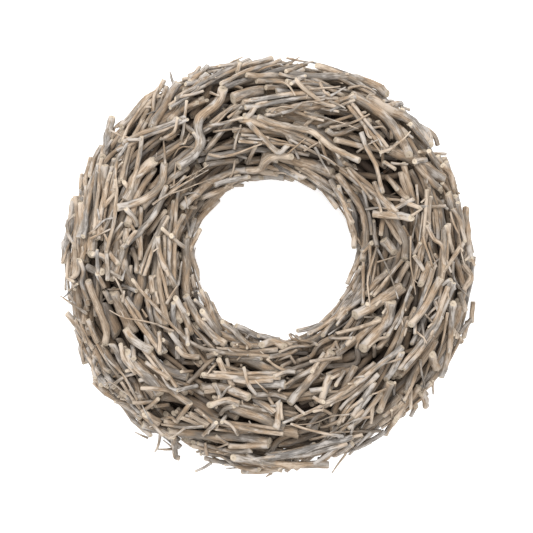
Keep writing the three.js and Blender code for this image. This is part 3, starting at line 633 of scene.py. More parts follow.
def face_height(x, y):
    """The height of the face's surface over a place on the ring."""
    middle, half = section_at(math.atan2(y, x))
    off = min(abs(math.hypot(x, y) - middle) / half, 1)
    return MIDDLE_HEIGHT + FACE_RISE * math.pow(1 - math.pow(off, FACE_ROUNDNESS), 1 / FACE_ROUNDNESS)


# The pile holds each branch as limbs, chains of points with their radii, and its straight links in arrays.
MOST_LINKS = 7000
pile = []
laid_links = 0
link_from, link_way, core_from, core_way, link_low, link_high = np.zeros((6, MOST_LINKS, 3))
link_r, link_bunch = np.zeros(MOST_LINKS), np.zeros(MOST_LINKS, int)
link_seen = np.zeros(MOST_LINKS, bool)


def links_of(limbs):
    """A branch's links: their ends, the ends of the core that stays inside the flat ends, and radii."""
    rows = []
    for points, radii in limbs:
        last = len(points) - 1
        for i in range(1, last + 1):
            a, b = points[i - 1], points[i]
            r = max(radii[i - 1], radii[i])
            along = unit(minus(b, a))
            core_a = add(a, times(along, r * END_SHARE)) if i == 1 else a
            core_b = minus(b, times(along, r * END_SHARE)) if i == last else b
            rows.append((*a, *b, *core_a, *core_b, r))
    rows = np.array(rows, float)
    return rows[:, 0:3], rows[:, 3:6], rows[:, 6:9], rows[:, 9:12], rows[:, 12]


def room_left(a, b, r, shifts, reach):
    """The least clearance of shifted links from the hoop, the surface, the hole and the wreath's reach."""
    spots = (a[:, None] + (b - a)[:, None] * np.array([0, 0.5, 1])[None, :, None]).reshape(-1, 3)
    spots = spots[None] + shifts[:, None]
    r = np.repeat(r, 3)
    x, y, z = spots[..., 0], spots[..., 1], spots[..., 2]
    beside = np.hypot(x - HOOP_CENTRE[0], y - HOOP_CENTRE[1]) - HOOP_RADIUS
    beside = np.maximum(np.abs(beside) - HOOP_HALF_FLAT, 0)
    hoop = np.hypot(beside, z - MIDDLE_HEIGHT) - HOOP_EDGE - HOOP_ROD_BULGE - r - CLEARANCE
    hole = np.hypot(x - HOLE_CENTRE[0], y - HOLE_CENTRE[1]) - HOLE_RADIUS - r + reach
    edges = np.minimum(np.minimum(z - r - FLOOR_CLEARANCE, hole), OUTER_REACH - np.hypot(x, y) - r)
    return hoop.min(axis=1), edges.min(axis=1)


def rows_dot(a, b):
    return a[..., 0] * b[..., 0] + a[..., 1] * b[..., 1] + a[..., 2] * b[..., 2]


def apart(w, u, v):
    """The shortest distance between straight links with ways u and v, whose starts are w apart."""
    a, e, b = rows_dot(u, u), rows_dot(v, v), rows_dot(u, v)
    c, f = rows_dot(w, u), rows_dot(w, v)
    slant = a * e - b * b
    s = np.where(slant > 1e-9, np.clip((b * f - c * e) / np.where(slant > 1e-9, slant, 1), 0, 1), 0)
    t = np.clip((b * s + f) / e, 0, 1)
    s = np.clip((b * t - c) / a, 0, 1)
    gap = w + (u * s[..., None] - v * t[..., None])
    return np.sqrt(rows_dot(gap, gap))


def near_links(a, b, r, shifts):
    """The pile's links that a branch may come near, at any of its shifts."""
    low = np.minimum(a, b).min(0) + shifts.min(0) - r.max() - CLEARANCE
    high = np.maximum(a, b).max(0) + shifts.max(0) + r.max() + CLEARANCE
    close = (link_low[:laid_links] <= high) & (link_high[:laid_links] >= low)
    return np.nonzero(close.all(axis=1))[0]


def link_gaps(a, b, r, shifts, near):
    """The gap from each of a branch's links to each near link of the pile, at each shift."""
    w = shifts[:, None, None] + (a[:, None] - link_from[near][None])[None]
    gap = apart(w, (b - a)[None, :, None], link_way[near][None, None])
    return gap - r[None, :, None] - link_r[near][None, None]


def bunch_gaps(limbs, shifts):
    """A branch's gap from each bunch at each shift, and the gap between the flats of the tubes."""
    a, b, core_a, core_b, r = links_of(limbs)
    gaps = np.full((len(shifts), BUNCHES), np.inf)
    bonds = np.full((len(shifts), BUNCHES), np.inf)
    near = near_links(a, b, r, shifts)
    if not len(near):
        return gaps, bonds
    gap = link_gaps(a, b, r, shifts, near)
    bond = np.full(gap.shape, np.inf)
    k, i, j = np.nonzero(gap <= 0)
    if len(k):
        w = shifts[k] + core_a[i] - core_from[near][j]
        flats = apart(w, (core_b - core_a)[i], core_way[near][j])
        bond[k, i, j] = flats - (1 - FLAT_LOSS) * (r[i] + link_r[near][j])
    for bunch in np.unique(link_bunch[near]):
        there = link_bunch[near] == bunch
        gaps[:, bunch] = gap[:, :, there].min(axis=(1, 2))
        bonds[:, bunch] = bond[:, :, there].min(axis=(1, 2))
    return gaps, bonds


def keeps_open(limbs, shift, bunch):
    """Whether a tight skin round a bunch and a new branch would leave the hole open, circle and square."""
    own = np.array([(*p[:2], r) for points, radii in limbs for p, r in zip(points, radii)])
    own[:, :2] += shift[:2]
    piled = [(*p[:2], r) for chains, there, _ in pile if there == bunch
             for points, radii in chains for p, r in zip(points, radii)]
    every = np.array([*own.tolist(), *piled])
    start = own[:, None, :2] - np.array(HOLE_CENTRE)
    way = every[None, :, :2] - own[:, None, :2]
    far = (way**2).sum(-1)
    far[far == 0] = 1
    share = np.clip(-(start * way).sum(-1) / far, 0, 1)
    nearest = np.linalg.norm(start + way * share[..., None], axis=-1)
    r = np.maximum(own[:, None, 2], every[None, :, 2])
    if (nearest - r).min() <= OPEN_RADIUS:
        return False
    shares = np.arange(OPEN_STEPS + 1) / OPEN_STEPS
    spots = start[:, :, None] + way[:, :, None] * shares[None, None, :, None]
    return bool((np.abs(spots).max(-1) - r[..., None]).min() > OPEN_SQUARE)


def turn_between(a, b):
    """The smaller turn between two directions, in degrees."""
    turn = math.fmod(abs(a - b), 360)
    return min(turn, 360 - turn)


def place_for(limbs, shifts, reach):
    """The first shift at which a branch lies well, and the one bunch that it then sinks into."""
    a, b, _, _, r = links_of(limbs)
    hoop, edges = room_left(a, b, r, shifts, reach)
    clear = np.nonzero(np.minimum(hoop, edges) >= 0)[0]
    if not len(clear):
        return None
    gaps, bonds = bunch_gaps(limbs, shifts[clear])
    main = limbs[0][0]
    middle = main[len(main) // 2]
    for row, k in enumerate(clear):
        hit = np.nonzero(gaps[row] < CLEARANCE)[0]
        if len(hit) != 1:
            continue
        bunch = int(hit[0])
        angle = math.atan2(middle[1] + shifts[k][1], middle[0] + shifts[k][0]) / RADIANS
        if turn_between(angle, bunch * 360 / BUNCHES) > BUNCH_REACH:
            continue
        if bonds[row, bunch] > -LEAST_SINK or gaps[row, bunch] < -MOST_SINK:
            continue
        if keeps_open(limbs, shifts[k], bunch):
            return tuple(shifts[k]), bunch
    return None


def moved(limbs, shift):
    return [([add(p, shift) for p in points], radii) for points, radii in limbs]


def lay(limbs, bunch, seen=False):
    """Adds a branch to the pile. What is laid over a seen one may not hide it."""
    global laid_links
    pile.append((limbs, bunch, seen))
    a, b, core_a, core_b, r = links_of(limbs)
    rows = slice(laid_links, laid_links + len(r))
    link_from[rows], link_way[rows] = a, b - a
    core_from[rows], core_way[rows] = core_a, core_b - core_a
    link_r[rows], link_bunch[rows], link_seen[rows] = r, bunch, seen
    link_low[rows] = np.minimum(a, b) - r[:, None]
    link_high[rows] = np.maximum(a, b) + r[:, None]
    laid_links += len(r)


CROOK_OUT = 0.5
FORK_SPREAD = (0.45, 0.85)
FORK_DIP = (0, 0.25)
FORK_RADIUS = 0.62
FORK_TIP = 0.8


def shoot(angle, around, depth, size):
    """A branch cut from a crooked shoot, that partly follows the ring, and may carry a fork."""
    here, clockwise, across, inwards = surface_frame(angle, around, depth)
    length = size["length"]
    side = add(times(clockwise, math.cos(size["lean"])), times(across, -math.sin(size["lean"])))
    forward = add(times(side, math.cos(size["dip"])), times(inwards, math.sin(size["dip"])))
    sideways = unit(cross(inwards, forward))
    steps = size["steps"]
    hole_way = unit((-here[0], -here[1], 0))
    points, radii = [], []
    for i in range(steps + 1):
        along = (i / steps - 0.5) * length
        follow = (size["follow"] * along * along) / (2 * HOOP_RADIUS)
        inner = 0 < i < steps
        crook = either_way(1) * length * size["crook"] if inner else 0
        bump = either_way(1) * length * size["crook"] * CROOK_OUT if inner else 0
        p = add(here, times(forward, along))
        p = add(p, times(hole_way, follow))
        points.append(add(p, add(times(sideways, crook), times(inwards, bump))))
        radii.append(size["radius"] * (1 + size["taper"] * (0.5 - i / steps)))
    limbs = [(points, radii)]
    if size["fork"] > 0:
        start = points[steps - 1]
        spread = size["fork_side"] * between(*FORK_SPREAD)
        way = add(times(forward, math.cos(spread)), times(sideways, math.sin(spread)))
        dip = size["fork"] * between(*FORK_DIP)
        end = add(start, add(times(way, size["fork"]), times(inwards, dip)))
        r = size["radius"] * FORK_RADIUS
        limbs.append(([start, end], [r, r * FORK_TIP]))
    return limbs


FOLLOW = (0.1, 0.6)
CROOK = (0.01, 0.05)
TAPER = (0.05, 0.4)
FORK_LENGTH = (0.2, 0.4)


def draw_size(kind):
    """The sizes of one branch of a kind, drawn in this order."""
    return {
        "radius": between(*kind["radius"]),
        "length": between(*kind["length"]),
        "lean": between(*kind["lean"]) * RADIANS,
        "dip": between(*kind["dip"]) * RADIANS,
        "follow": between(*FOLLOW),
        "crook": between(*CROOK),
        "taper": between(*TAPER),
        "steps": kind.get("steps", 2),
        "fork": between(*FORK_LENGTH) * kind["length"][0] if draw() < kind["forked"] else 0,
        "fork_side": 1 if draw() < 0.5 else -1,
    }


SLIDES = (0, -1, 1, -2, 2, -3, 3, -4, 4, -5, 5, -6, -7, -8, -9, -10)


def lay_one(kind, angle, around, tries):
    """Tries one place after another until a branch of this kind lies well."""
    for n in range(tries):
        size = draw_size(kind)
        a = angle + either_way(kind["spread"][0]) * RADIANS
        b = around + either_way(kind["spread"][1]) * RADIANS
        depth = size["radius"] + between(*kind["depth"])
        limbs = shoot(a, b, depth, size)
        inwards = surface_frame(a, b, depth)[3]
        found = place_for(limbs, np.array([times(inwards, slide) for slide in SLIDES]), kind["into_hole"])
        if found:
            lay(moved(limbs, found[0]), found[1])
            return


FOOT = 270
FIRST_PLACES = (90, 30, FOOT, 150, 90, -30, 210, 30)


def lay_foot(bunch):
    """A straight branch at the back, sunk a little below the floor's height, where its flat is cut."""
    radius = FOOT_THICKNESS / 2
    size = draw_size(KINDS["under"])
    size.update(radius=radius, taper=0, crook=0, dip=0, fork=0, follow=0)
    points, radii = shoot(((bunch * 360) / BUNCHES) * RADIANS, FOOT * RADIANS, radius, size)[0]
    lay([([(x, y, radius - FOOT_SINK) for x, y, z in points], radii)], bunch)


def beside_hoop(angle, around, distance):
    """A place at some distance off the hoop's side, in the direction of an angle round its section."""
    cosine = math.cos(around)
    flat = HOOP_HALF_FLAT * (0 if abs(cosine) < 1e-6 else math.copysign(1, cosine))
    r = HOOP_RADIUS + (cosine * distance + flat)
    z = MIDDLE_HEIGHT + math.sin(around) * distance
    return (HOOP_CENTRE[0] + r * math.cos(angle), HOOP_CENTRE[1] + r * math.sin(angle), z)


OFF_STEP = 0.05
OFF_REACH = 20
FIRST_TRIES = 400
BOUND_DEPTH = 30
BOUND_FOLLOW = {"hole": 2.2, "elsewhere": 0.3}


def lay_first(bunch):
    """The first branch of a bunch, bound to the hoop's face, or high or low on its edge or hole side."""
    angle = ((bunch * 360) / BUNCHES) * RADIANS
    around = FIRST_PLACES[bunch % len(FIRST_PLACES)] * RADIANS
    offs = [HOOP_EDGE]
    while offs[-1] < HOOP_EDGE + OFF_REACH:
        offs.append(offs[-1] + OFF_STEP)
    side = "hole" if math.cos(around) < -0.1 else "elsewhere"
    for n in range(FIRST_TRIES):
        radius = between(*BOUND_THICKNESS) / 2
        size = draw_size(KINDS["under"])
        size.update(radius=radius, taper=0.05, dip=0, crook=0.004, follow=BOUND_FOLLOW[side])
        limbs = shoot(angle, around, BOUND_DEPTH, size)
        middle = limbs[0][0][1]
        shifts = np.array([minus(beside_hoop(angle, around, off), middle) for off in offs])
        a, b, _, _, r = links_of(limbs)
        clear = np.nonzero(np.minimum(*room_left(a, b, r, shifts, 0)) >= 0)[0]
        if not len(clear):
            continue
        shift = shifts[clear[0]]
        if bunch_gaps(limbs, shift[None])[0].min() < CLEARANCE or not keeps_open(limbs, shift, bunch):
            continue
        lay(moved(limbs, tuple(shift)), bunch)
        return


KINDS = {
    "under": dict(radius=(6, 8), length=(95, 145), lean=(-14, 16), dip=(-2, 4), forked=0,
                  spread=(8, 14), depth=(12, 26), into_hole=0),
    "middle": dict(radius=(5, 7.8), length=(80, 135), lean=(-22, 26), dip=(-2, 5), forked=0.1,
                   spread=(8, 14), depth=(4, 14), into_hole=0),
    "outer": dict(radius=(3.6, 6.8), length=(70, 140), lean=(-26, 34), dip=(-3, 9), forked=0.25,
                  spread=(9, 12), depth=(0, 9), into_hole=2),
    "back": dict(radius=(4.4, 7.2), length=(80, 130), lean=(-24, 24), dip=(0, 0), forked=0.2,
                 spread=(8, 14), depth=(0, 6), into_hole=0),
    "tip": dict(radius=(1.6, 2.6), length=(60, 100), lean=(-35, 45), dip=(4, 16), forked=0.5,
                spread=(9, 16), depth=(-3, 3), into_hole=3),
}

# The branches that show most in the picture, each as its thickness in mm, how far it lies under the face,
# and the pixels x, y of points from its root to its forward end.
SEEN = (
    (13, 12, 265, 151, 288, 158, 311, 165, 332, 172), (14, 12, 293, 124, 311, 130, 325, 138, 346, 166),
    (15, 10, 260, 112, 278, 116, 296, 116, 318, 115), (12, 6, 367, 99, 388, 110, 408, 121, 428, 144),
    (13, 8, 390, 150, 416, 162, 431, 171, 445, 179), (12, 10, 437, 204, 441, 221, 444, 246),
    (10, 10, 389, 205, 397, 222, 405, 241, 404, 259), (13, 4, 405, 280, 390, 291, 369, 306, 348, 317),
    (12, 8, 390, 301, 387, 319, 379, 326, 362, 347), (11, 4, 459, 302, 456, 319, 447, 344, 439, 369),
    (9.5, 8, 435, 340, 429, 350, 414, 372, 407, 392), (10, 6, 331, 352, 314, 374, 303, 389, 290, 403),
    (12, 8, 285, 385, 269, 372, 253, 364, 228, 361), (10, 10, 258, 400, 246, 396, 225, 387, 199, 388),
    (12, 4, 283, 427, 269, 421, 253, 416, 231, 409), (12, 6, 297, 433, 269, 428, 238, 427),
    (10, 6, 269, 441, 232, 438, 197, 434, 169, 431), (13, 8, 218, 419, 190, 402, 162, 395),
    (11, 6, 162, 395, 154, 382, 137, 367, 127, 350), (12.5, 8, 134, 333, 123, 308, 113, 292),
    (14, 4, 119, 338, 110, 316, 103, 301), (11, 10, 136, 288, 129, 277, 123, 260, 120, 240),
    (10.5, 2, 134, 316, 137, 309, 141, 285, 140, 262), (12.5, 4, 126, 201, 129, 194, 137, 175, 154, 161),
    (13, 4, 172, 132, 179, 112, 183, 100), (10, 6, 152, 127, 157, 116, 166, 99, 178, 83),
    (9, 6, 170, 122, 185, 100, 196, 88, 208, 74), (9.5, 4, 192, 116, 199, 103, 207, 95, 211, 79),
    (13, 2, 233, 98, 251, 91, 264, 90), (7.5, 8, 225, 87, 243, 82, 274, 72, 299, 66),
    (7.5, 4, 242, 65, 258, 61, 274, 57), (9.5, 2, 286, 74, 328, 77, 352, 79, 372, 85, 387, 94),
    (11, 2, 349, 96, 373, 113, 386, 120, 400, 138, 414, 162),
    (8.5, 2, 408, 169, 416, 183, 428, 200, 447, 202), (8.5, 6, 426, 149, 438, 155, 449, 162),
    (8, 4, 466, 208, 467, 236, 470, 259), (8.5, 8, 338, 175, 349, 192, 362, 213, 366, 236, 363, 260),
    (8, 2, 338, 155, 349, 156, 374, 157, 397, 156), (7, 4, 355, 172, 380, 176, 405, 173),
    (8, 2, 369, 214, 394, 220, 414, 222), (6.5, 3, 327, 130, 338, 134, 352, 130, 370, 120),
    (8, 2, 244, 126, 269, 123, 276, 129, 283, 137, 287, 146),
    (6.5, 0, 248, 122, 256, 133, 265, 142, 276, 152, 287, 146),
    (6.5, 2, 246, 119, 251, 114, 259, 105, 268, 103), (8, 6, 265, 134, 283, 133, 300, 134),
    (7, 6, 207, 167, 225, 164, 245, 164), (6, 2, 211, 123, 225, 114, 237, 104),
    (6, 2, 207, 152, 216, 150, 229, 142, 242, 135), (8.5, 6, 182, 207, 199, 191, 216, 177, 246, 170),
    (11, -2, 179, 166, 194, 156, 201, 144, 201, 130, 199, 120, 217, 102, 223, 89),
    (10, -2, 147, 236, 161, 227, 169, 206, 185, 180, 204, 148),
    (8.5, 0, 117, 208, 134, 203, 148, 196, 161, 183, 164, 163),
    (7, 0, 122, 248, 140, 232, 154, 215, 161, 201, 166, 186),
    (9, 2, 103, 156, 105, 147, 109, 130, 112, 117), (6.5, 4, 120, 141, 126, 130, 137, 110, 147, 95),
    (7.5, 6, 141, 131, 151, 116, 159, 102, 166, 86), (6, 2, 82, 260, 88, 229, 88, 201, 85, 180, 91, 157),
    (6, 4, 103, 215, 109, 187, 114, 159), (6.7, 6, 74, 248, 77, 222, 75, 196),
    (6, 6, 140, 260, 141, 229, 141, 207), (9.5, 6, 186, 295, 185, 262, 186, 236),
    (8.5, 2, 105, 344, 105, 326, 98, 305, 88, 281), (8, 4, 190, 334, 185, 316, 176, 298),
    (9.5, 4, 225, 344, 210, 333, 196, 319, 186, 296), (10, 0, 151, 350, 134, 340, 126, 329),
    (7.5, 4, 110, 382, 96, 361, 78, 333, 63, 308), (8.5, 6, 140, 417, 113, 396, 94, 381),
    (7, 2, 93, 347, 103, 367, 109, 372), (10, 8, 187, 377, 167, 371, 148, 354),
    (4.7, -2, 269, 357, 225, 353, 196, 346, 176, 329, 151, 301, 133, 280),
    (7, 0, 234, 385, 227, 369, 218, 355), (6, -2, 214, 358, 201, 368, 187, 384),
    (6, -2, 217, 405, 220, 396, 214, 384), (8, 0, 239, 404, 225, 401, 210, 405),
    (5.7, 0, 190, 404, 185, 414, 176, 423), (8, 0, 276, 428, 279, 419, 278, 402),
    (7, 0, 318, 428, 296, 434, 279, 441, 268, 461), (8.5, 4, 344, 442, 327, 458, 315, 469),
    (7.5, 4, 332, 442, 311, 456, 294, 469), (6, 4, 300, 462, 269, 471, 238, 473),
    (8, 2, 355, 367, 348, 386, 334, 414, 334, 435), (7, 0, 318, 367, 355, 365, 358, 348),
    (9, 2, 330, 376, 325, 386, 321, 400), (6.2, 2, 377, 375, 355, 397, 338, 424),
    (7, 4, 374, 382, 363, 400, 352, 416), (9.5, 2, 390, 383, 386, 395, 379, 411),
    (6.5, 0, 402, 347, 386, 358, 372, 371, 355, 384), (9, 0, 410, 330, 404, 358, 398, 379),
    (7.5, 2, 414, 280, 414, 302, 405, 320, 390, 339, 382, 352),
    (9, 0, 440, 278, 436, 287, 424, 308, 410, 324), (10.5, 4, 449, 298, 441, 309),
    (6.5, 4, 454, 253, 457, 266, 464, 286), (5.5, 2, 463, 243, 456, 253, 442, 273),
    (5.5, 2, 427, 226, 433, 239, 442, 246, 444, 266), (9, 0, 430, 263, 425, 271, 421, 284),
    (6.5, 4, 409, 263, 401, 275, 397, 284), (6.5, 4, 395, 420, 391, 426, 386, 435),
    (4, -2, 348, 169, 360, 183, 372, 199), (4, -2, 369, 193, 396, 196, 415, 199),
    (4, 0, 418, 207, 432, 206, 446, 206), (4, -2, 330, 402, 307, 414, 283, 423),
    (3, 4, 223, 70, 231, 62, 242, 56), (3, 2, 348, 449, 339, 461, 332, 473),
    (4, 2, 211, 463, 204, 467, 196, 471), (3.7, 2, 86, 316, 74, 308, 58, 296),
    (3.7, 0, 166, 306, 178, 285, 182, 260),
)


def read_rows(rows):
    """Each row's thickness, depth under the face, and path of pixels."""
    return [(row[0], row[1], list(zip(row[2::2], row[3::2]))) for row in rows]


def from_picture(pixel, height):
    """Real millimetres of a pixel whose point is at some height: what is nearer the lens looks larger."""
    scale = (MM_PER_PIXEL * (LENS_DISTANCE - height)) / (LENS_DISTANCE - MIDDLE_HEIGHT)
    return (pixel[0] - PICTURE_MIDDLE[0]) * scale, (PICTURE_MIDDLE[1] - pixel[1]) * scale


def without_small_bends(points):
    """Leaves out the inner points that stand less than a little off the line between their neighbours."""
    kept = [points[0]]
    for i in range(1, len(points) - 1):
        off = cross(minus(points[i], kept[-1]), unit(minus(points[i + 1], kept[-1])))
        if math.sqrt(dot(off, off)) > SMALL_BEND:
            kept.append(points[i])
    return [*kept, points[-1]]


LOWEST_SEEN = MIDDLE_HEIGHT - 14
SEEN_ROOT = 1.06
SEEN_TAPER = 0.12


def seen_limb(thick, under, path, small_bends=False):
    """A branch of the picture, with heights that partly follow the face's curve, as a stiff branch does."""
    r = thick / 2
    flat = []
    for pixel in path:
        x, y = from_picture(pixel, MIDDLE_HEIGHT + FACE_RISE / 2)
        height = face_height(x, y) - r - under
        flat.append((*from_picture(pixel, height), height))
    bent = []
    for i, (x, y, z) in enumerate(flat):
        straight = flat[0][2] + ((flat[-1][2] - flat[0][2]) * i) / (len(flat) - 1)
        bent.append((x, y, max((straight + z) / 2, LOWEST_SEEN)))
    points = bent if small_bends else without_small_bends(bent)
    return points, [r * (SEEN_ROOT - (SEEN_TAPER * i) / (len(points) - 1)) for i in range(len(points))]


FROM_CUT = 4


def cut_back(points, radii, first, last):
    """Cuts a share of a chain's length off its two ends."""
    along = [0]
    lengths = [math.sqrt(dot(minus(p, q), minus(p, q))) for p, q in zip(points[1:], points)]
    whole = sum(lengths)
    for length in lengths:
        along.append(along[-1] + length)

    def at(distance):
        i = 1
        while i < len(points) - 1 and along[i] < distance:
            i += 1
        share = (distance - along[i - 1]) / (along[i] - along[i - 1])
        point = add(points[i - 1], times(minus(points[i], points[i - 1]), share))
        return point, radii[i - 1] + (radii[i] - radii[i - 1]) * share

    start, to = whole * first, whole * (1 - last)
    kept = [at(start)]
    kept += [(p, r) for p, r, on in zip(points, radii, along)
             if start + FROM_CUT < on < to - FROM_CUT]
    kept.append(at(to))
    return [k[0] for k in kept], [k[1] for k in kept]


SEEN_TRIES = 90
UNCUT_TRIES = 20
LOOSE = {"shift": 5, "tilt": 16, "turn": 0.09, "cut": 0.2}
SEEN_INTO_HOLE = 6
NEAR_RISES = np.arange(0.5, 6, 0.5)
RISES = (0, *np.stack([NEAR_RISES, -NEAR_RISES], axis=1).ravel(), 6, *np.arange(-6.5, -24.5, -0.5))


def lay_seen(thick, under, path):
    """Lets a branch down until it sinks into one bunch alone, a little more loosely at each try."""
    limb = seen_limb(thick, under, path)
    for n in range(SEEN_TRIES):
        loose = n / SEEN_TRIES
        dx, dy, tilt, turn = (either_way(LOOSE[what]) * loose for what in ("shift", "shift", "tilt", "turn"))
        cut = [between(0, LOOSE["cut"]) * loose for end in range(2)] if n > UNCUT_TRIES else (0, 0)
        points, radii = cut_back(*limb, *cut)
        last = len(points) - 1
        middle = times(add(points[0], points[last]), 0.5)
        c, s = math.cos(turn), math.sin(turn)
        tilted = []
        for i, p in enumerate(points):
            x, y, _ = minus(p, middle)
            z = p[2] + tilt * (i / last - 0.5)
            tilted.append((middle[0] + x * c - y * s, middle[1] + x * s + y * c, z))
        shifts = np.array([(dx, dy, rise) for rise in RISES])
        found = place_for([(tilted, radii)], shifts, SEEN_INTO_HOLE)
        if found:
            lay(moved([(tilted, radii)], found[0]), found[1], seen=True)
            return True
    return False


def lay_rows(kind, per_row, rows, tries):
    """Rows round the ring, each at its own place round the section and set off from the row before."""
    for row, around in enumerate(rows):
        for i in range(per_row):
            angle = ((i + row / len(rows)) / per_row) * 360 * RADIANS
            lay_one(kind, angle, around * RADIANS, tries)


BARE_AROUND = (40, 65, 90, 115, 140)
BARE_DEPTH = 16
BARE_ROOM = 5
BARE_SPREAD = (4, 6)
SPECK = np.array([[0.1, 0, 0]])


def lay_bare(kind, tries):
    """Looks over the face and lays a branch wherever none lies yet."""
    for angle in range(0, 360, 10):
        for around in BARE_AROUND:
            spot = np.array(surface_point(angle * RADIANS, around * RADIANS, BARE_DEPTH))
            rows = slice(0, laid_links)
            off = apart(spot - link_from[rows], SPECK, link_way[rows])
            if not np.any(off < link_r[rows] + BARE_ROOM):
                lay_one({**kind, "spread": BARE_SPREAD}, angle * RADIANS, around * RADIANS, tries)


for bunch in range(BUNCHES):
    if FIRST_PLACES[bunch % len(FIRST_PLACES)] == FOOT:
        lay_foot(bunch)
feet = [limbs for limbs, _, _ in pile]
for bunch in range(BUNCHES):
    if FIRST_PLACES[bunch % len(FIRST_PLACES)] != FOOT:
        lay_first(bunch)
lay_rows(KINDS["under"], per_row=7, rows=(20, 160, 90, 55, 125, -25), tries=60)
lay_rows(KINDS["back"], per_row=11, rows=(270, 235, 305), tries=60)
lay_rows(KINDS["middle"], per_row=5, rows=(60, 95, 130, 25, 155), tries=60)
unplaced = [branch for branch in read_rows(SEEN) if not lay_seen(*branch)]
lay_bare(KINDS["middle"], tries=40)
lay_rows(KINDS["outer"], per_row=7, rows=(0, -30, 20, 185, -15), tries=60)
lay_rows(KINDS["tip"], per_row=8, rows=(20,), tries=60)

# The last colour of each of these serves for the furrows, stains, pith and rims, and also as the painted
# shade deep in the ring.
branch_bark = bark("branch_bark", [(0.168, 0.158, 0.149), (0.228, 0.189, 0.15), (0.32, 0.229, 0.152),
                                   (0.334, 0.274, 0.214)],
                   ((0.406, 0.374, 0.345), (0.458, 0.378, 0.3)), 0.465, (0.044, 0.028, 0.017))
branch_end = cut_wood("branch_end", (0.58, 0.505, 0.4), (0.46, 0.385, 0.295), (0.2, 0.15, 0.11))


SHOOT_HEIGHTS = (2, 112)
SHOOT_INTO_HOLE = 7
SHOOT_REACH = 251
SHOOT_BEND = 0.04
SHOOT_RADII = (1.25, 1, 0.86)
STUBS = {"spacing": 75, "reach": (2, 8), "leans": (30, 62), "shares": (0.32, 0.56)}
SHOOTS = {"spacing": 190, "reach": (12, 34), "leans": (22, 42), "shares": (0.45, 0.75)}


def side_shoot(bm, line, side, other, along, radius, at, wood, look, reach, leans, shares):
    """A side shoot from the middle of a branch: a stub that was cut off short, or a longer one."""
    i = int(wood.integers(1, len(at) - 1)) if len(at) > 3 else 1
    way = wood.uniform(0, 2 * math.pi)
    out = side[i] * math.cos(way) + other[i] * math.sin(way)
    lean = math.radians(wood.uniform(*leans))
    forward = along[i] * math.cos(lean) + out * math.sin(lean)
    length = radius[i] / math.sin(lean) + wood.uniform(*reach)
    r = radius[i] * wood.uniform(*shares)
    tip = line[i] + forward * length
    off = math.hypot(tip[0] - HOLE_CENTRE[0], tip[1] - HOLE_CENTRE[1])
    if tip[2] - r < SHOOT_HEIGHTS[0] or tip[2] + r > SHOOT_HEIGHTS[1]:
        return
    if off - r < HOLE_RADIUS - SHOOT_INTO_HOLE or math.hypot(*tip[:2]) + r > SHOOT_REACH:
        return
    middle = line[i] + forward * length * 0.6 + wood.normal(0, SHOOT_BEND, 3) * length
    bar(bm, [line[i], middle, tip], [r * share for share in SHOOT_RADII], look, wood,
        sides=6 if r < 2.4 else 8, step=5, swell=0.1, tilts=(0, wood.uniform(0.2, 0.9)), upturned=True,
        worn=(0, 0.8), least=3, cut=r > 1)


SPLIT_FROM = 4.7
SPLIT_PARTS = 3
SPLIT_STEPS = 4
SPLIT_TWIST = 1.3
SPLIT_SHARE = (0.4, 0.52)
SPLIT_CUT = (0, 0.16)


def split(points, radii, wood):
    """Three finer branches side by side, in the form and the place of one thick branch of the pile."""
    line, radius, _ = even_line(points, radii, SPLIT_STEPS)
    _, side, other = directions(line)
    start, twist = wood.uniform(0, 2 * math.pi), wood.uniform(-SPLIT_TWIST, SPLIT_TWIST)
    twist = twist * np.linspace(-0.5, 0.5, SPLIT_STEPS + 1)
    parts = []
    for part in range(SPLIT_PARTS):
        way = (start + part * 2 * math.pi / SPLIT_PARTS + twist)[:, None]
        share = wood.uniform(*SPLIT_SHARE)
        path = line + (side * np.cos(way) + other * np.sin(way)) * (radius * (1 - share))[:, None]
        parts.append(cut_back([tuple(p) for p in path], list(radius * share), wood.uniform(*SPLIT_CUT),
                              wood.uniform(*SPLIT_CUT)))
    return parts


SIDES_ABOVE = ((5.5, 12), (4, 10), (2.6, 8), (0, 6))
FINE = 2.0
KNOT = ((0, 130), (0, ANY_TURN), (0.1, 0.3), (3, 7))
ROOT_TILT = (0.1, 0.7)
TIP_TILT = (0.4, 1.1)
UPTURNED = 0.8


def dress(bm, limbs, wood, shoots=1.0, crooked=1.0):
    """A branch of the pile as real wood: rounded, knotted and crooked, with cut ends and side shoots."""
    look = wood.uniform()
    for points, radii in limbs:
        thick = max(radii)
        sides = next(sides for radius, sides in SIDES_ABOVE if thick > radius)
        if thick < FINE:
            radii = [r * (1.1 - 0.5 * i / (len(radii) - 1)) for i, r in enumerate(radii)]
            bar(bm, points, radii, look, wood, sides=sides, step=7, cut=thick > 1.5, crook=1.3 * crooked,
                swell=0.2, worn=(0.2, 0.5))
            continue
        knots = [[wood.uniform(*limits) for limits in KNOT] for n in range(int(wood.integers(1, 5)))]
        laid = bar(bm, points, radii, look, wood, knots=knots, sides=sides, step=max(4.0, thick * 0.95),
                   crook=min(2.2, thick * 0.42) * crooked, swell=0.16, lobes=0.045, worn=(0.4, 0.8),
                   tilts=(wood.uniform(*ROOT_TILT), wood.uniform(*TIP_TILT)),
                   upturned=wood.random() < UPTURNED)
        length = laid[-1][-1]
        for kind in (STUBS, SHOOTS):
            for n in range(wood.poisson(shoots * length / kind["spacing"])):
                side_shoot(bm, *laid, wood, look, kind["reach"], kind["leans"], kind["shares"])


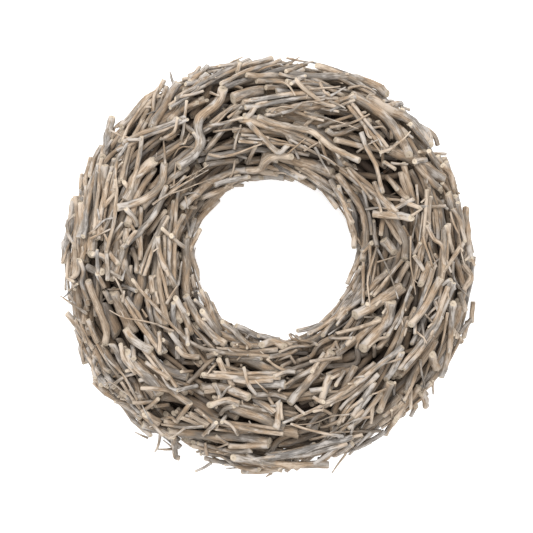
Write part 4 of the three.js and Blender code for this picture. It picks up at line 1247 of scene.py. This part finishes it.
wood = np.random.default_rng(21)
for bunch in range(BUNCHES):
    bm = bmesh.new()
    for limbs, there, seen in pile:
        if there != bunch:
            continue
        if any(limbs is foot for foot in feet):
            dress(bm, limbs, wood, shoots=0, crooked=0)
        elif seen or max(limbs[0][1]) < SPLIT_FROM:
            dress(bm, limbs, wood, crooked=0.6 if seen else 1)
        else:
            dress(bm, split(*limbs[0], wood) + limbs[1:], wood)
    piece = finished("bunch_%02d" % (bunch + 1), bm, (branch_bark, branch_end))
    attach(piece, "root")
    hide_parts("branch_bunch_%02d" % (bunch + 1))

# Branches laid over the bunches: more lengths of the same weathered shoots, pushed in between the others
# and held there by them alone. The rest of those in the picture come first, then others are threaded into
# the gaps or let in from outside until they rest, which closes the gaps down to narrow dark slits.
SECTORS = 8
OVER = 100
OVER_TILTS = np.linspace(-12, 12, 7)
OVER_SLIDES = np.arange(20, -16, -0.5)
OVER_PRESS = 2.5
OVER_INTO_HOLE = 22
ROOM_AT_HOOP = 1
LET_DOWN_ABOVE = 6
MOST_RISE = {"thin": 6, "thick": 4}


def rest(limbs, way, slides, press, reach):
    """Moves a branch in along a direction until it presses on the pile or the hoop, and says how far."""
    a, b, _, _, r = links_of(limbs)
    shifts = np.array([times(way, slide) for slide in slides])
    hoop, edges = room_left(a, b, r, shifts, reach)
    near = near_links(a, b, r, shifts)
    gap = hoop + CLEARANCE + ROOM_AT_HOOP
    if len(near):
        gap = np.minimum(gap, link_gaps(a, b, r, shifts, near).min(axis=(1, 2)))
    pressed = np.nonzero(gap < -press)[0]
    if not len(pressed) or pressed[0] == 0 or edges[pressed[0]] < 0:
        return None
    return slides[pressed[0]]


# Finer branches, forks and twigs of the picture, in rows of the same form.
ALSO_SEEN = (
    (6, 3, 164, 80, 142, 119, 134, 136), (4, 2, 150, 97, 129, 126, 123, 140),
    (3.6, 4, 174, 85, 172, 78, 170, 72), (3.5, 3, 111, 137, 114, 126, 121, 119),
    (3.5, 0, 165, 164, 164, 155, 163, 140), (5.5, 2, 131, 189, 136, 174, 140, 155, 142, 137),
    (4, 1, 116, 189, 116, 175, 118, 159, 124, 150, 128, 142), (4, 1, 142, 140, 128, 140),
    (4.5, 1, 160, 138, 169, 138, 179, 129), (2.4, 0, 172, 158, 181, 147, 194, 147),
    (3.6, 0, 170, 186, 178, 178), (8, 13, 123, 184, 131, 158), (5, 4, 90, 176, 95, 158, 102, 146),
    (5, 4, 80, 189, 82, 174), (4, 1, 164, 138, 174, 132, 178, 119), (4, 4, 181, 140, 184, 126, 187, 102),
    (2.4, 1, 184, 144, 192, 123), (6, 3, 190, 82, 208, 67), (5, 4, 190, 78, 200, 68),
    (5, 3, 237, 72, 240, 64), (5, 3, 221, 85, 238, 75, 257, 68, 281, 60), (2.6, 4, 290, 64, 300, 57),
    (5, 3, 286, 72, 296, 68, 307, 64), (4, 4, 326, 74, 337, 69), (4, 2, 279, 74, 295, 78, 305, 77),
    (4.5, 1, 291, 85, 306, 76), (3.5, 0, 266, 81, 286, 83, 295, 96), (2.5, 0, 244, 102, 266, 99, 290, 96),
    (7, 4, 266, 87, 286, 86), (5.5, 1, 295, 81, 310, 94, 324, 105, 339, 107),
    (3.5, 0, 319, 83, 327, 96, 339, 92), (7, 6, 269, 103, 290, 107, 314, 105, 329, 102),
    (2.6, 2, 271, 113, 280, 108, 304, 108), (3.6, 3, 228, 118, 242, 107),
    (4, 2, 209, 126, 224, 123, 242, 119), (2.6, 1, 213, 131, 228, 130, 241, 129),
    (3.5, 2, 234, 149, 238, 136, 241, 125), (3, 2, 244, 138, 263, 140),
    (3.6, 0, 208, 154, 219, 157, 233, 154, 247, 149, 262, 144), (5, 3, 247, 163, 255, 147),
    (2.6, 0, 287, 154, 295, 147, 306, 138), (2.8, 0, 304, 151, 320, 141), (5, 2, 290, 150, 309, 154),
    (9, 4, 246, 170, 260, 168, 266, 160, 275, 156, 291, 157), (5, 2, 304, 126, 313, 118),
    (3.4, 0, 210, 92, 219, 96), (2.4, 3, 338, 74, 347, 72), (3.2, 0, 330, 96, 345, 88),
    (3.6, 1, 349, 88, 361, 85, 375, 92), (3.6, 0, 330, 101, 339, 105, 345, 109),
    (4, 1, 330, 111, 342, 106, 354, 101), (3.6, 1, 330, 127, 344, 126, 359, 120, 369, 115),
    (4, 2, 349, 134, 360, 141), (4, 1, 364, 126, 368, 136, 372, 138), (2.6, 1, 373, 128, 384, 127, 387, 134),
    (2.6, 0, 357, 152, 368, 144, 378, 140), (3, 1, 372, 141, 379, 152), (4, 1, 380, 153, 391, 148, 398, 142),
    (6, 4, 378, 121, 392, 138), (6, 6, 380, 140, 388, 151), (7, 4, 398, 126, 406, 134),
    (9, 5, 387, 107, 401, 104), (4, 4, 384, 101, 393, 101), (4, 4, 401, 107, 410, 110),
    (8, 3, 409, 123, 426, 132, 430, 145), (6, 4, 426, 129, 435, 136, 438, 145),
    (4, 3, 419, 152, 433, 153, 446, 154), (7, 4, 414, 162, 427, 160), (6, 3, 442, 166, 450, 174, 455, 189),
    (3.5, 1, 391, 163, 408, 164), (5, 2, 384, 162, 395, 169), (5, 2, 344, 162, 354, 167),
    (6, 4, 387, 176, 397, 189), (8, 6, 417, 164, 430, 181, 440, 189), (3.6, 0, 411, 216, 422, 209),
    (2.6, 1, 423, 212, 421, 228, 419, 241), (3.2, 1, 423, 236, 428, 253, 433, 270),
    (3.2, 1, 429, 242, 437, 267), (3, 2, 433, 212, 435, 234), (5, 1, 414, 256, 424, 271),
    (5, 1, 420, 243, 414, 255), (3.4, 0, 378, 247, 372, 266, 368, 283, 370, 307),
    (2.8, 0, 378, 249, 387, 266, 393, 283, 398, 299), (4, 1, 364, 262, 364, 285, 363, 304),
    (2, 1, 377, 262, 397, 256), (6, 2, 374, 221, 376, 234, 378, 246), (6, 3, 362, 252, 372, 243),
    (11, 8, 384, 240, 394, 252), (7, 7, 388, 271, 366, 295), (6, 8, 361, 268, 352, 284, 341, 300),
    (2.6, 1, 364, 317, 378, 318), (2.8, 1, 452, 262, 452, 276, 459, 288, 468, 296),
    (7, 3, 463, 264, 471, 277, 464, 289), (5, 2, 445, 226, 453, 253), (5, 3, 453, 209, 460, 221, 464, 241),
    (5, 3, 443, 183, 454, 196), (3.6, 2, 452, 218, 455, 239), (7, 4, 393, 182, 402, 194, 407, 199),
    (5, 2, 374, 182, 380, 196, 390, 205, 397, 212), (6, 3, 401, 200, 419, 208),
    (3, 0, 366, 209, 381, 208, 394, 212, 399, 218), (4, 1, 404, 226, 409, 235, 415, 241),
    (2.6, 1, 424, 314, 432, 322), (5, 4, 434, 300, 441, 318), (5, 3, 450, 281, 454, 290),
    (5, 3, 441, 285, 449, 280), (6, 4, 473, 302, 472, 322), (6, 3, 460, 293, 465, 311),
    (4, 4, 74, 215, 68, 222, 69, 234, 73, 243), (4, 4, 69, 254, 68, 266, 69, 278, 74, 281),
    (6, 3, 80, 259, 78, 272, 72, 280), (4.5, 0, 106, 253, 111, 237, 115, 218, 117, 194, 116, 180),
    (5, 1, 108, 280, 107, 264, 106, 247, 106, 233), (3.4, 0, 90, 234, 93, 232, 104, 220, 113, 218),
    (3.4, 0, 91, 239, 102, 233, 111, 229), (2.8, 2, 100, 220, 98, 209), (7, 3, 137, 226, 135, 220, 126, 209),
    (7.5, 2, 126, 241, 126, 229), (5, 1, 128, 243, 136, 231), (6.5, 1, 146, 234, 154, 226, 165, 211),
    (5, 1, 184, 247, 173, 239, 163, 229), (6.5, 1, 172, 236, 175, 234, 184, 215), (6, 3, 189, 237, 194, 218),
    (3, 2, 186, 238, 187, 227), (6.5, 3, 175, 285, 169, 272, 160, 253, 158, 237), (5, 2, 169, 276, 166, 268),
    (6.5, 2, 153, 293, 151, 276), (7, 2, 107, 262, 102, 256, 93, 254), (5, 3, 121, 278, 108, 270),
    (6, 4, 119, 264, 109, 252), (6, 3, 137, 272, 136, 261, 131, 247), (3.4, 1, 122, 280, 125, 270),
    (5, 2, 87, 300, 82, 283, 84, 272, 81, 261), (9, 3, 102, 272, 95, 271, 86, 266),
    (6, 3, 104, 288, 98, 274), (3, 3, 78, 284, 64, 297), (7, 11, 111, 302, 104, 291),
    (5, 3, 136, 291, 121, 285), (4, 2, 123, 302, 124, 291), (3, 2, 147, 317, 142, 309),
    (4, 2, 158, 304, 156, 292), (5, 1, 188, 314, 184, 303), (6, 3, 194, 287, 192, 275),
    (3, 2, 192, 293, 200, 290), (3, 0, 182, 195, 191, 192, 200, 194), (2.6, 1, 185, 196, 188, 209),
    (5.5, 2, 190, 207, 196, 207), (7, 8, 190, 250, 195, 269, 197, 280), (3, 4, 84, 361, 82, 349, 82, 338),
    (5, 3, 93, 349, 85, 336, 79, 320), (6, 2, 97, 342, 92, 330, 88, 320),
    (7, 3, 129, 374, 123, 363, 117, 352, 112, 344), (6, 3, 133, 369, 126, 360, 121, 344),
    (3.4, 1, 138, 399, 125, 376, 111, 364, 104, 354), (3, 1, 136, 374, 129, 366),
    (4, 0, 111, 387, 123, 378, 134, 374), (3, 1, 113, 377, 120, 376), (7, 3, 141, 399, 136, 387, 129, 378),
    (14, 9, 157, 395, 146, 384), (5, 2, 153, 402, 133, 402), (5, 1, 158, 399, 151, 405, 141, 412),
    (5, 2, 168, 406, 155, 407), (9, 4, 160, 423, 146, 414), (4, 1, 176, 422, 171, 418, 161, 420),
    (10, 5, 172, 436, 160, 430, 143, 424), (3, 4, 148, 438, 135, 432),
    (3.4, 4, 160, 434, 158, 447, 155, 452), (2.4, 4, 173, 447, 163, 440), (3, 5, 172, 449, 158, 449),
    (7, 5, 173, 437, 175, 454, 179, 458), (6.5, 2, 187, 358, 182, 349, 170, 332), (6, 2, 168, 344, 163, 340),
    (6, 2, 199, 357, 184, 355, 177, 348), (5, 3, 160, 352, 159, 332), (5, 2, 169, 378, 158, 371, 146, 362),
    (4, 2, 177, 390, 168, 386, 161, 372), (5, 2, 197, 386, 190, 388, 177, 390), (4, 2, 192, 372, 181, 372),
    (6, 3, 200, 363, 180, 363), (3, 1, 200, 367, 192, 361), (5, 2, 188, 344, 186, 328),
    (6, 2, 134, 358, 132, 345), (5, 4, 100, 374, 89, 358), (4, 3, 108, 387, 94, 379),
    (4, 3, 86, 342, 82, 332, 74, 320), (3, 2, 247, 348, 247, 336, 244, 334), (2.6, 2, 247, 338, 252, 332),
    (4, 1, 317, 345, 310, 342, 294, 340, 290, 335), (3, 2, 300, 339, 291, 334),
    (6, 2, 334, 337, 323, 342, 317, 348, 312, 357, 298, 362), (9, 4, 284, 346, 274, 342, 262, 345),
    (4, 1, 310, 347, 295, 348, 280, 352), (4, 1, 297, 351, 288, 355, 269, 358), (3, 0, 290, 356, 271, 364),
    (4, 1, 296, 365, 290, 356), (5, 2, 219, 344, 213, 340), (5, 1, 261, 359, 244, 358, 226, 357),
    (7, 1, 216, 353, 207, 357), (3, 0, 216, 364, 207, 374), (3, 1, 199, 367, 193, 362),
    (4.5, 0, 256, 395, 249, 384, 244, 367), (2.6, 0, 268, 393, 255, 380),
    (5.5, 1, 287, 399, 274, 395, 256, 395), (5, 2, 272, 380, 249, 382, 235, 380),
    (6, 1, 317, 366, 312, 369, 295, 378, 288, 386), (5, 2, 295, 372, 284, 371, 274, 376),
    (5, 2, 293, 362, 282, 367), (5.5, 0, 312, 371, 318, 362, 324, 353), (4.5, 1, 340, 358, 310, 361),
    (6, 1, 323, 389, 310, 391), (5, 2, 323, 401, 313, 397), (4, 1, 340, 375, 332, 378),
    (4, 2, 282, 419, 281, 403), (8, 2, 274, 412, 266, 406, 256, 402), (3, 1, 276, 406, 270, 406),
    (6, 1, 234, 406, 225, 409, 220, 416), (5, 1, 226, 416, 222, 422), (6, 3, 218, 426, 207, 417, 196, 410),
    (6, 4, 209, 425, 200, 421, 190, 414), (5, 1, 216, 422, 210, 428, 202, 436),
    (4, 2, 238, 435, 232, 426, 224, 421), (2.6, 1, 228, 444, 215, 449),
    (6.5, 3, 268, 446, 247, 447, 229, 446), (6, 3, 251, 450, 238, 452, 224, 450), (5, 3, 263, 462, 247, 454),
    (4, 3, 207, 455, 205, 444), (4, 4, 234, 465, 219, 457, 200, 453), (6, 4, 296, 452, 282, 453),
    (4, 2, 326, 436, 310, 441), (6, 3, 326, 413, 317, 418, 309, 428), (4, 1, 332, 415, 324, 410, 314, 411),
    (2.6, 4, 272, 473, 266, 477), (6, 4, 314, 445, 300, 456, 286, 471), (4, 1, 304, 413, 295, 406),
    (6, 2, 354, 338, 347, 345), (4, 2, 352, 338, 330, 338), (4, 2, 336, 342, 339, 349),
    (4, 0, 388, 337, 377, 340, 369, 347), (5, 3, 374, 345, 375, 358), (3.5, 2, 406, 328, 404, 336),
    (2.8, 1, 414, 330, 423, 337, 426, 343), (3.6, 1, 422, 320, 423, 332, 424, 343),
    (4.5, 2, 433, 330, 430, 336), (10, 3, 437, 368, 432, 354), (3.2, 0, 421, 360, 422, 374, 425, 388),
    (8, 4, 401, 352, 395, 364, 386, 379), (4, 2, 395, 383, 395, 396), (4, 3, 400, 395, 406, 402),
    (7, 4, 419, 387, 411, 399, 401, 412, 396, 418), (8, 5, 422, 393, 426, 406), (3, 4, 433, 381, 433, 394),
    (7, 4, 461, 341, 453, 330), (6, 4, 468, 322, 464, 337), (3, 1, 386, 389, 372, 394),
    (3, 1, 370, 416, 354, 421, 339, 428), (3.5, 2, 381, 431, 354, 431, 330, 432),
    (4, 2, 362, 399, 348, 411, 342, 422), (5, 1, 378, 374, 355, 395, 340, 410), (7, 3, 362, 409, 354, 418),
    (3, 1, 401, 358, 386, 363), (3, 0, 364, 376, 354, 378), (5, 3, 344, 371, 336, 385),
    (5, 5, 416, 406, 411, 416), (6, 5, 384, 432, 374, 439, 357, 448), (4, 3, 362, 434, 346, 439, 333, 447),
    (7, 5, 352, 443, 334, 456), (6, 5, 397, 406, 384, 416), (3, 4, 391, 410, 392, 420),
)
left_over = []
for thick, under, path in unplaced + sorted(read_rows(ALSO_SEEN), reverse=True):
    limb = seen_limb(thick, under, path, small_bends=True)
    best = None
    for tilt in OVER_TILTS if under < LET_DOWN_ABOVE else ():
        last = len(limb[0]) - 1
        points = [(x, y, z + tilt * (i / last - 0.5)) for i, (x, y, z) in enumerate(limb[0])]
        press = min(OVER_PRESS, thick * 0.4)
        rise = rest([(points, limb[1])], (0, 0, 1), OVER_SLIDES, press, OVER_INTO_HOLE)
        if rise is not None and (best is None or rise < best[0]):
            best = rise, points
    rise, points = best or (0, limb[0])
    rise = min(rise, MOST_RISE["thin" if thick < 7 else "thick"])
    limbs = moved([(points, limb[1])], (0, 0, rise))
    lay(limbs, OVER, seen=True)
    left_over.append(limbs)

THREADS = {
    "deep": dict(radius=(3.8, 5.6), length=(54, 140), lean=(-16, 22), lifts=(-8, 0, 8), press=2.4, proud=0,
                 into_hole=2),
    "long": dict(radius=(2.4, 4.4), length=(84, 160), lean=(-26, 34), lifts=(-6, 0, 6, 12), press=2.2,
                 proud=1, into_hole=4),
    "face": dict(radius=(2.6, 4.6), length=(50, 120), lean=(-26, 34), lifts=(-6, 0, 6, 12), press=2.2,
                 proud=1.5, into_hole=4),
    "fine": dict(radius=(1.6, 2.8), length=(46, 120), lean=(-34, 42), lifts=(-8, 0, 7, 14), press=1.4,
                 proud=2.5, into_hole=5),
}


BURIED = 0.3
HIDING = 0.6
THREADS_WITHIN = OUTER_REACH - 2


def covers_seen(spots, r, near):
    """Whether a bar's middle at each spot would hide a branch that the picture shows."""
    near = near[link_seen[near]]
    w = spots[..., None, :2] - link_from[near, :2]
    v = link_way[near, :2]
    t = np.clip((w * v).sum(-1) / (v * v).sum(-1), 0, 1)
    off = np.linalg.norm(w - v * t[..., None], axis=-1)
    above = spots[..., None, 2] > link_from[near, 2] + link_way[near, 2] * t - BURIED * link_r[near]
    return (above & (off < link_r[near] + HIDING * r)).any(-1)


def ragged(x, y):
    """How far the branches stand back from the hole's edge, which is uneven."""
    angle = np.arctan2(y - HOLE_CENTRE[1], x - HOLE_CENTRE[0])
    return 2.4 * np.sin(5 * angle + 1) + 2 * np.sin(11 * angle + 4) - 3 * np.cos(2 * angle + 0.2)


def free_at(spots, r, near, kind):
    """Whether a bar of some radius could pass through each spot."""
    w = spots[..., None, :] - link_from[near]
    v = link_way[near]
    t = np.clip(rows_dot(w, v) / rows_dot(v, v), 0, 1)
    off = w - v * t[..., None]
    free = (np.sqrt(rows_dot(off, off)) - link_r[near]).min(axis=-1) > r - kind["press"]
    x, y, z = spots[..., 0], spots[..., 1], spots[..., 2]
    beside = np.abs(np.hypot(x - HOOP_CENTRE[0], y - HOOP_CENTRE[1]) - HOOP_RADIUS) - HOOP_HALF_FLAT
    free &= np.hypot(np.maximum(beside, 0), z - MIDDLE_HEIGHT) > HOOP_EDGE + r - kind["press"]
    hole = np.hypot(x - HOLE_CENTRE[0], y - HOLE_CENTRE[1]) - HOLE_RADIUS - ragged(x, y)
    free &= hole > r - kind["into_hole"]
    free &= (z > r + FLOOR_CLEARANCE) & (np.hypot(x, y) < THREADS_WITHIN - r)
    return free & (depth_of(spots) > r - kind["proud"]) & ~covers_seen(spots, r, near)


NEIGHBOURHOOD = 70
THREAD_STEP = 4.0
THREAD_LEANS = 6
THREAD_STRAY = {"lean": 5, "lift": 2, "around": 6, "depth": 1}
THREAD_FOLLOW = (0.1, 1.1)
THREAD_TUCK = ((2, 7), (0, 6))
THREAD_TAPER = (0.05, 0.35)


def neighbours(low, high, room):
    """The pile's links that come within some room of a box."""
    reached = (link_low[:laid_links] < high + room) & (link_high[:laid_links] > low - room)
    return np.nonzero(reached.all(1))[0]


def thread(kind, angle, around, depth):
    """Threads a branch into the gap at a place, in the direction where it is free for longest."""
    here, clockwise, across, inwards = (np.array(v) for v in surface_frame(angle, around, depth))
    hole_way = -here * (1, 1, 0) / math.hypot(here[0], here[1])
    r = between(*kind["radius"])
    near = neighbours(here, here, NEIGHBOURHOOD)
    if not free_at(here[None], r, near, kind)[0]:
        return None
    half = int(kind["length"][1] / (2 * THREAD_STEP))
    on = np.arange(-half, half + 1) * THREAD_STEP
    lines = []
    for lean in np.radians(np.linspace(*kind["lean"], THREAD_LEANS) + either_way(THREAD_STRAY["lean"])):
        for lift in np.radians(np.array(kind["lifts"]) + either_way(THREAD_STRAY["lift"])):
            way = (clockwise * math.cos(lean) - across * math.sin(lean)) * math.cos(lift)
            way = way - inwards * math.sin(lift)
            bend = between(*THREAD_FOLLOW) * on**2 / (2 * HOOP_RADIUS)
            lines.append(here + on[:, None] * way + bend[:, None] * hole_way)
    lines = np.array(lines)
    free = free_at(lines, r, near, kind)
    ahead = np.argmin(np.c_[free[:, half:], np.zeros(len(free), bool)], axis=1)
    behind = np.argmin(np.c_[free[:, half::-1], np.zeros(len(free), bool)], axis=1)
    best = int(np.argmax(ahead + behind))
    first, last = half - behind[best] + 1, half + ahead[best] - 1
    if (last - first) * THREAD_STEP < kind["length"][0]:
        return None
    line = lines[best]
    start, end = line[first], line[last]
    tucked = [between(*reach) for reach in THREAD_TUCK]
    start = start - (line[first + 1] - line[first]) / THREAD_STEP * tucked[0]
    end = end + (line[last] - line[last - 1]) / THREAD_STEP * tucked[1]
    inner = line[np.linspace(first, last, max(4, (last - first) // 7 + 2)).astype(int)[1:-1]]
    points = [tuple(start), *map(tuple, inner), tuple(end)]
    taper = between(*THREAD_TAPER)
    return [(points, [r * (1 + taper * (0.5 - i / (len(points) - 1))) for i in range(len(points))])]


def thread_gaps(kind, angles, arounds, depths):
    """Goes over the ring at some depths under its skin, and threads a branch into each gap it finds."""
    laid = []
    for depth in depths:
        for i in range(angles):
            for around in arounds:
                angle = (i + between(0, 1)) / angles * 2 * math.pi
                b = (around + either_way(THREAD_STRAY["around"])) * RADIANS
                limbs = thread(kind, angle, b, depth + either_way(THREAD_STRAY["depth"]))
                if limbs:
                    lay(limbs, OVER)
                    laid.append(limbs)
    return laid


EXTRA = {
    "over": dict(radius=(2.6, 5.2), length=(60, 140), lean=(-24, 34), dip=(-10, 3), forked=0.4, steps=4,
                 proud=7, press=2.2, into_hole=5, cover=0.12),
    "lip": dict(radius=(2.6, 4.8), length=(36, 75), lean=(-24, 24), dip=(-26, -8), forked=0.3, steps=3,
                proud=9, press=4.5, into_hole=9, cover=0.15),
    "twig": dict(radius=(0.9, 1.9), length=(35, 85), lean=(-40, 48), dip=(-12, 5), forked=0.6, steps=4,
                 proud=6, press=0.6, into_hole=6, cover=0.3),
}
EXTRA_TRIES = 4
EXTRA_SLIDES = np.arange(-20, 24, 0.5)
EXTRA_TURN = 2.39996
EXTRA_STRAY = {"angle": 6, "around": 8}


def lay_extra(kind, arounds, count):
    """Looks all round, at some angles round the section, and lays there the branch that nestles deepest."""
    laid = []
    for n in range(count):
        angle = n * EXTRA_TURN
        around = between(*arounds[n % len(arounds)])
        best = None
        for k in range(EXTRA_TRIES):
            size = draw_size(kind)
            a = angle + either_way(EXTRA_STRAY["angle"]) * RADIANS
            b = (around + either_way(EXTRA_STRAY["around"])) * RADIANS
            limbs = shoot(a, b, size["radius"], size)
            inwards = surface_frame(a, b, size["radius"])[3]
            slide = rest(limbs, inwards, EXTRA_SLIDES, kind["press"], kind["into_hole"])
            if slide is None or slide < -kind["proud"] or (best is not None and slide <= best[0]):
                continue
            limbs = moved(limbs, times(inwards, slide))
            line = even_line(*limbs[0], 12)[0]
            near = neighbours(line.min(0), line.max(0), 6)
            if covers_seen(line, size["radius"], near).mean() <= kind["cover"]:
                best = slide, limbs
        if best:
            lay(best[1], OVER)
            laid.append(best[1])
    return laid


OVER_AROUND = ((-42, -10), (-10, 20), (160, 190), (190, 220), (20, 90), (90, 160))
LIP_AROUND = ((145, 165), (165, 195))
FACE = tuple(range(8, 176, 12))
SIDES = (-32, -20, -8, 184, 196, 208)
BACK = tuple(range(220, 325, 13))
extras = thread_gaps(THREADS["deep"], 60, FACE + SIDES, depths=(27, 20, 13))
extras += thread_gaps(THREADS["deep"], 60, BACK, depths=(9,))
first = laid_links
extras += lay_extra(EXTRA["over"], OVER_AROUND, count=300)
extras += lay_extra(EXTRA["lip"], LIP_AROUND, count=90)
# What is threaded in after these may not hide them.
link_seen[first:laid_links] = True
extras += thread_gaps(THREADS["long"], 60, FACE + SIDES, depths=(10, 5))
extras += thread_gaps(THREADS["face"], 60, FACE + SIDES, depths=(8,))
extras += thread_gaps(THREADS["face"], 48, BACK, depths=(6,))
extras += thread_gaps(THREADS["fine"], 60, FACE + SIDES[:3] + BACK, depths=(7, 3.5))


def sector_of(limbs):
    points = limbs[0][0]
    middle = points[len(points) // 2]
    return int((math.atan2(middle[1], middle[0]) / (2 * math.pi) + 0.5) * SECTORS) % SECTORS


def dress_sectors(name, branches, shoots):
    """Makes a piece of the branches in each eighth of the way round."""
    for sector in range(SECTORS):
        bm = bmesh.new()
        for limbs in branches:
            if sector_of(limbs) == sector:
                dress(bm, limbs, wood, shoots=shoots)
        piece = finished("%s_%d" % (name, sector + 1), bm, (branch_bark, branch_end))
        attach(piece, "root")


dress_sectors("over_branches", left_over + extras, shoots=0.8)

# Side twigs: thin dry ends of the same shoots, many of them forked, that are caught between the branches and
# stand a little out of the face and the edges.
ROUND = ((10, 50), (50, 90), (90, 130), (130, 170), (170, 215), (-40, 10), (170, 215), (-40, 10), (215, 255),
         (255, 290), (290, 325))
dress_sectors("side_twigs", lay_extra(EXTRA["twig"], ROUND, count=180), shoots=1)

# The studio: a wide pale floor that glows a little, as a light table does, a large soft light over the upper
# left of the picture, a wider one above, pale light from all round, and the camera two metres up.
FLOOR_SIZE = 6
FLOOR_GLOW = 0.4
SKY_STRENGTH = 1.02
CAMERA_HEIGHT = LENS_DISTANCE * MM
SENSOR_WIDTH = 36
PICTURE_WIDTH = 533
floor_mesh = bmesh.new()
bmesh.ops.create_grid(floor_mesh, x_segments=2, y_segments=2, size=FLOOR_SIZE)
paper = bpy.data.materials.new("studio_floor")
paper.use_nodes = True
for socket, value in (("Base Color", (0.9, 0.9, 0.9, 1)), ("Roughness", 0.9), ("Specular IOR Level", 0.1),
                      ("Emission Color", (1, 1, 1, 1)), ("Emission Strength", FLOOR_GLOW)):
    paper.node_tree.nodes["Principled BSDF"].inputs[socket].default_value = value
floor = finished("studio_floor", floor_mesh, (paper,))

world = bpy.data.worlds.new("studio")
world.use_nodes = True
world.node_tree.nodes["Background"].inputs["Color"].default_value = (1, 1, 1, 1)
world.node_tree.nodes["Background"].inputs["Strength"].default_value = SKY_STRENGTH
bpy.context.scene.world = world


def soft_light(name, place, size, watts):
    """A square light that shines at the middle of the wreath."""
    lamp = bpy.data.lights.new(name, "AREA")
    lamp.shape = "SQUARE"
    lamp.size = size
    lamp.energy = watts
    light = bpy.data.objects.new(name, lamp)
    light.location = place
    off = math.hypot(*place[:2])
    light.rotation_euler = (math.atan2(off, place[2]), 0, math.atan2(place[1], place[0]) + math.pi / 2)
    bpy.context.scene.collection.objects.link(light)


soft_light("key", (-0.55, 1.15, 1.9), 0.8, 40)
soft_light("top", (0.25, -0.3, 2.6), 1.6, 30)

pixel = MM_PER_PIXEL * MM
lens = bpy.data.cameras.new("camera")
lens.sensor_width = SENSOR_WIDTH
lens.lens = SENSOR_WIDTH * (CAMERA_HEIGHT - MIDDLE_HEIGHT * MM) / (PICTURE_WIDTH * pixel)
camera = bpy.data.objects.new("camera", lens)
camera.location = ((PICTURE_WIDTH / 2 - PICTURE_MIDDLE[0]) * pixel,
                   (PICTURE_MIDDLE[1] - PICTURE_WIDTH / 2) * pixel, CAMERA_HEIGHT)
bpy.context.scene.collection.objects.link(camera)
bpy.context.scene.camera = camera
bpy.context.scene.view_settings.view_transform = "Standard"

for blank, *_ in BLANKS.values():
    bpy.data.meshes.remove(blank)
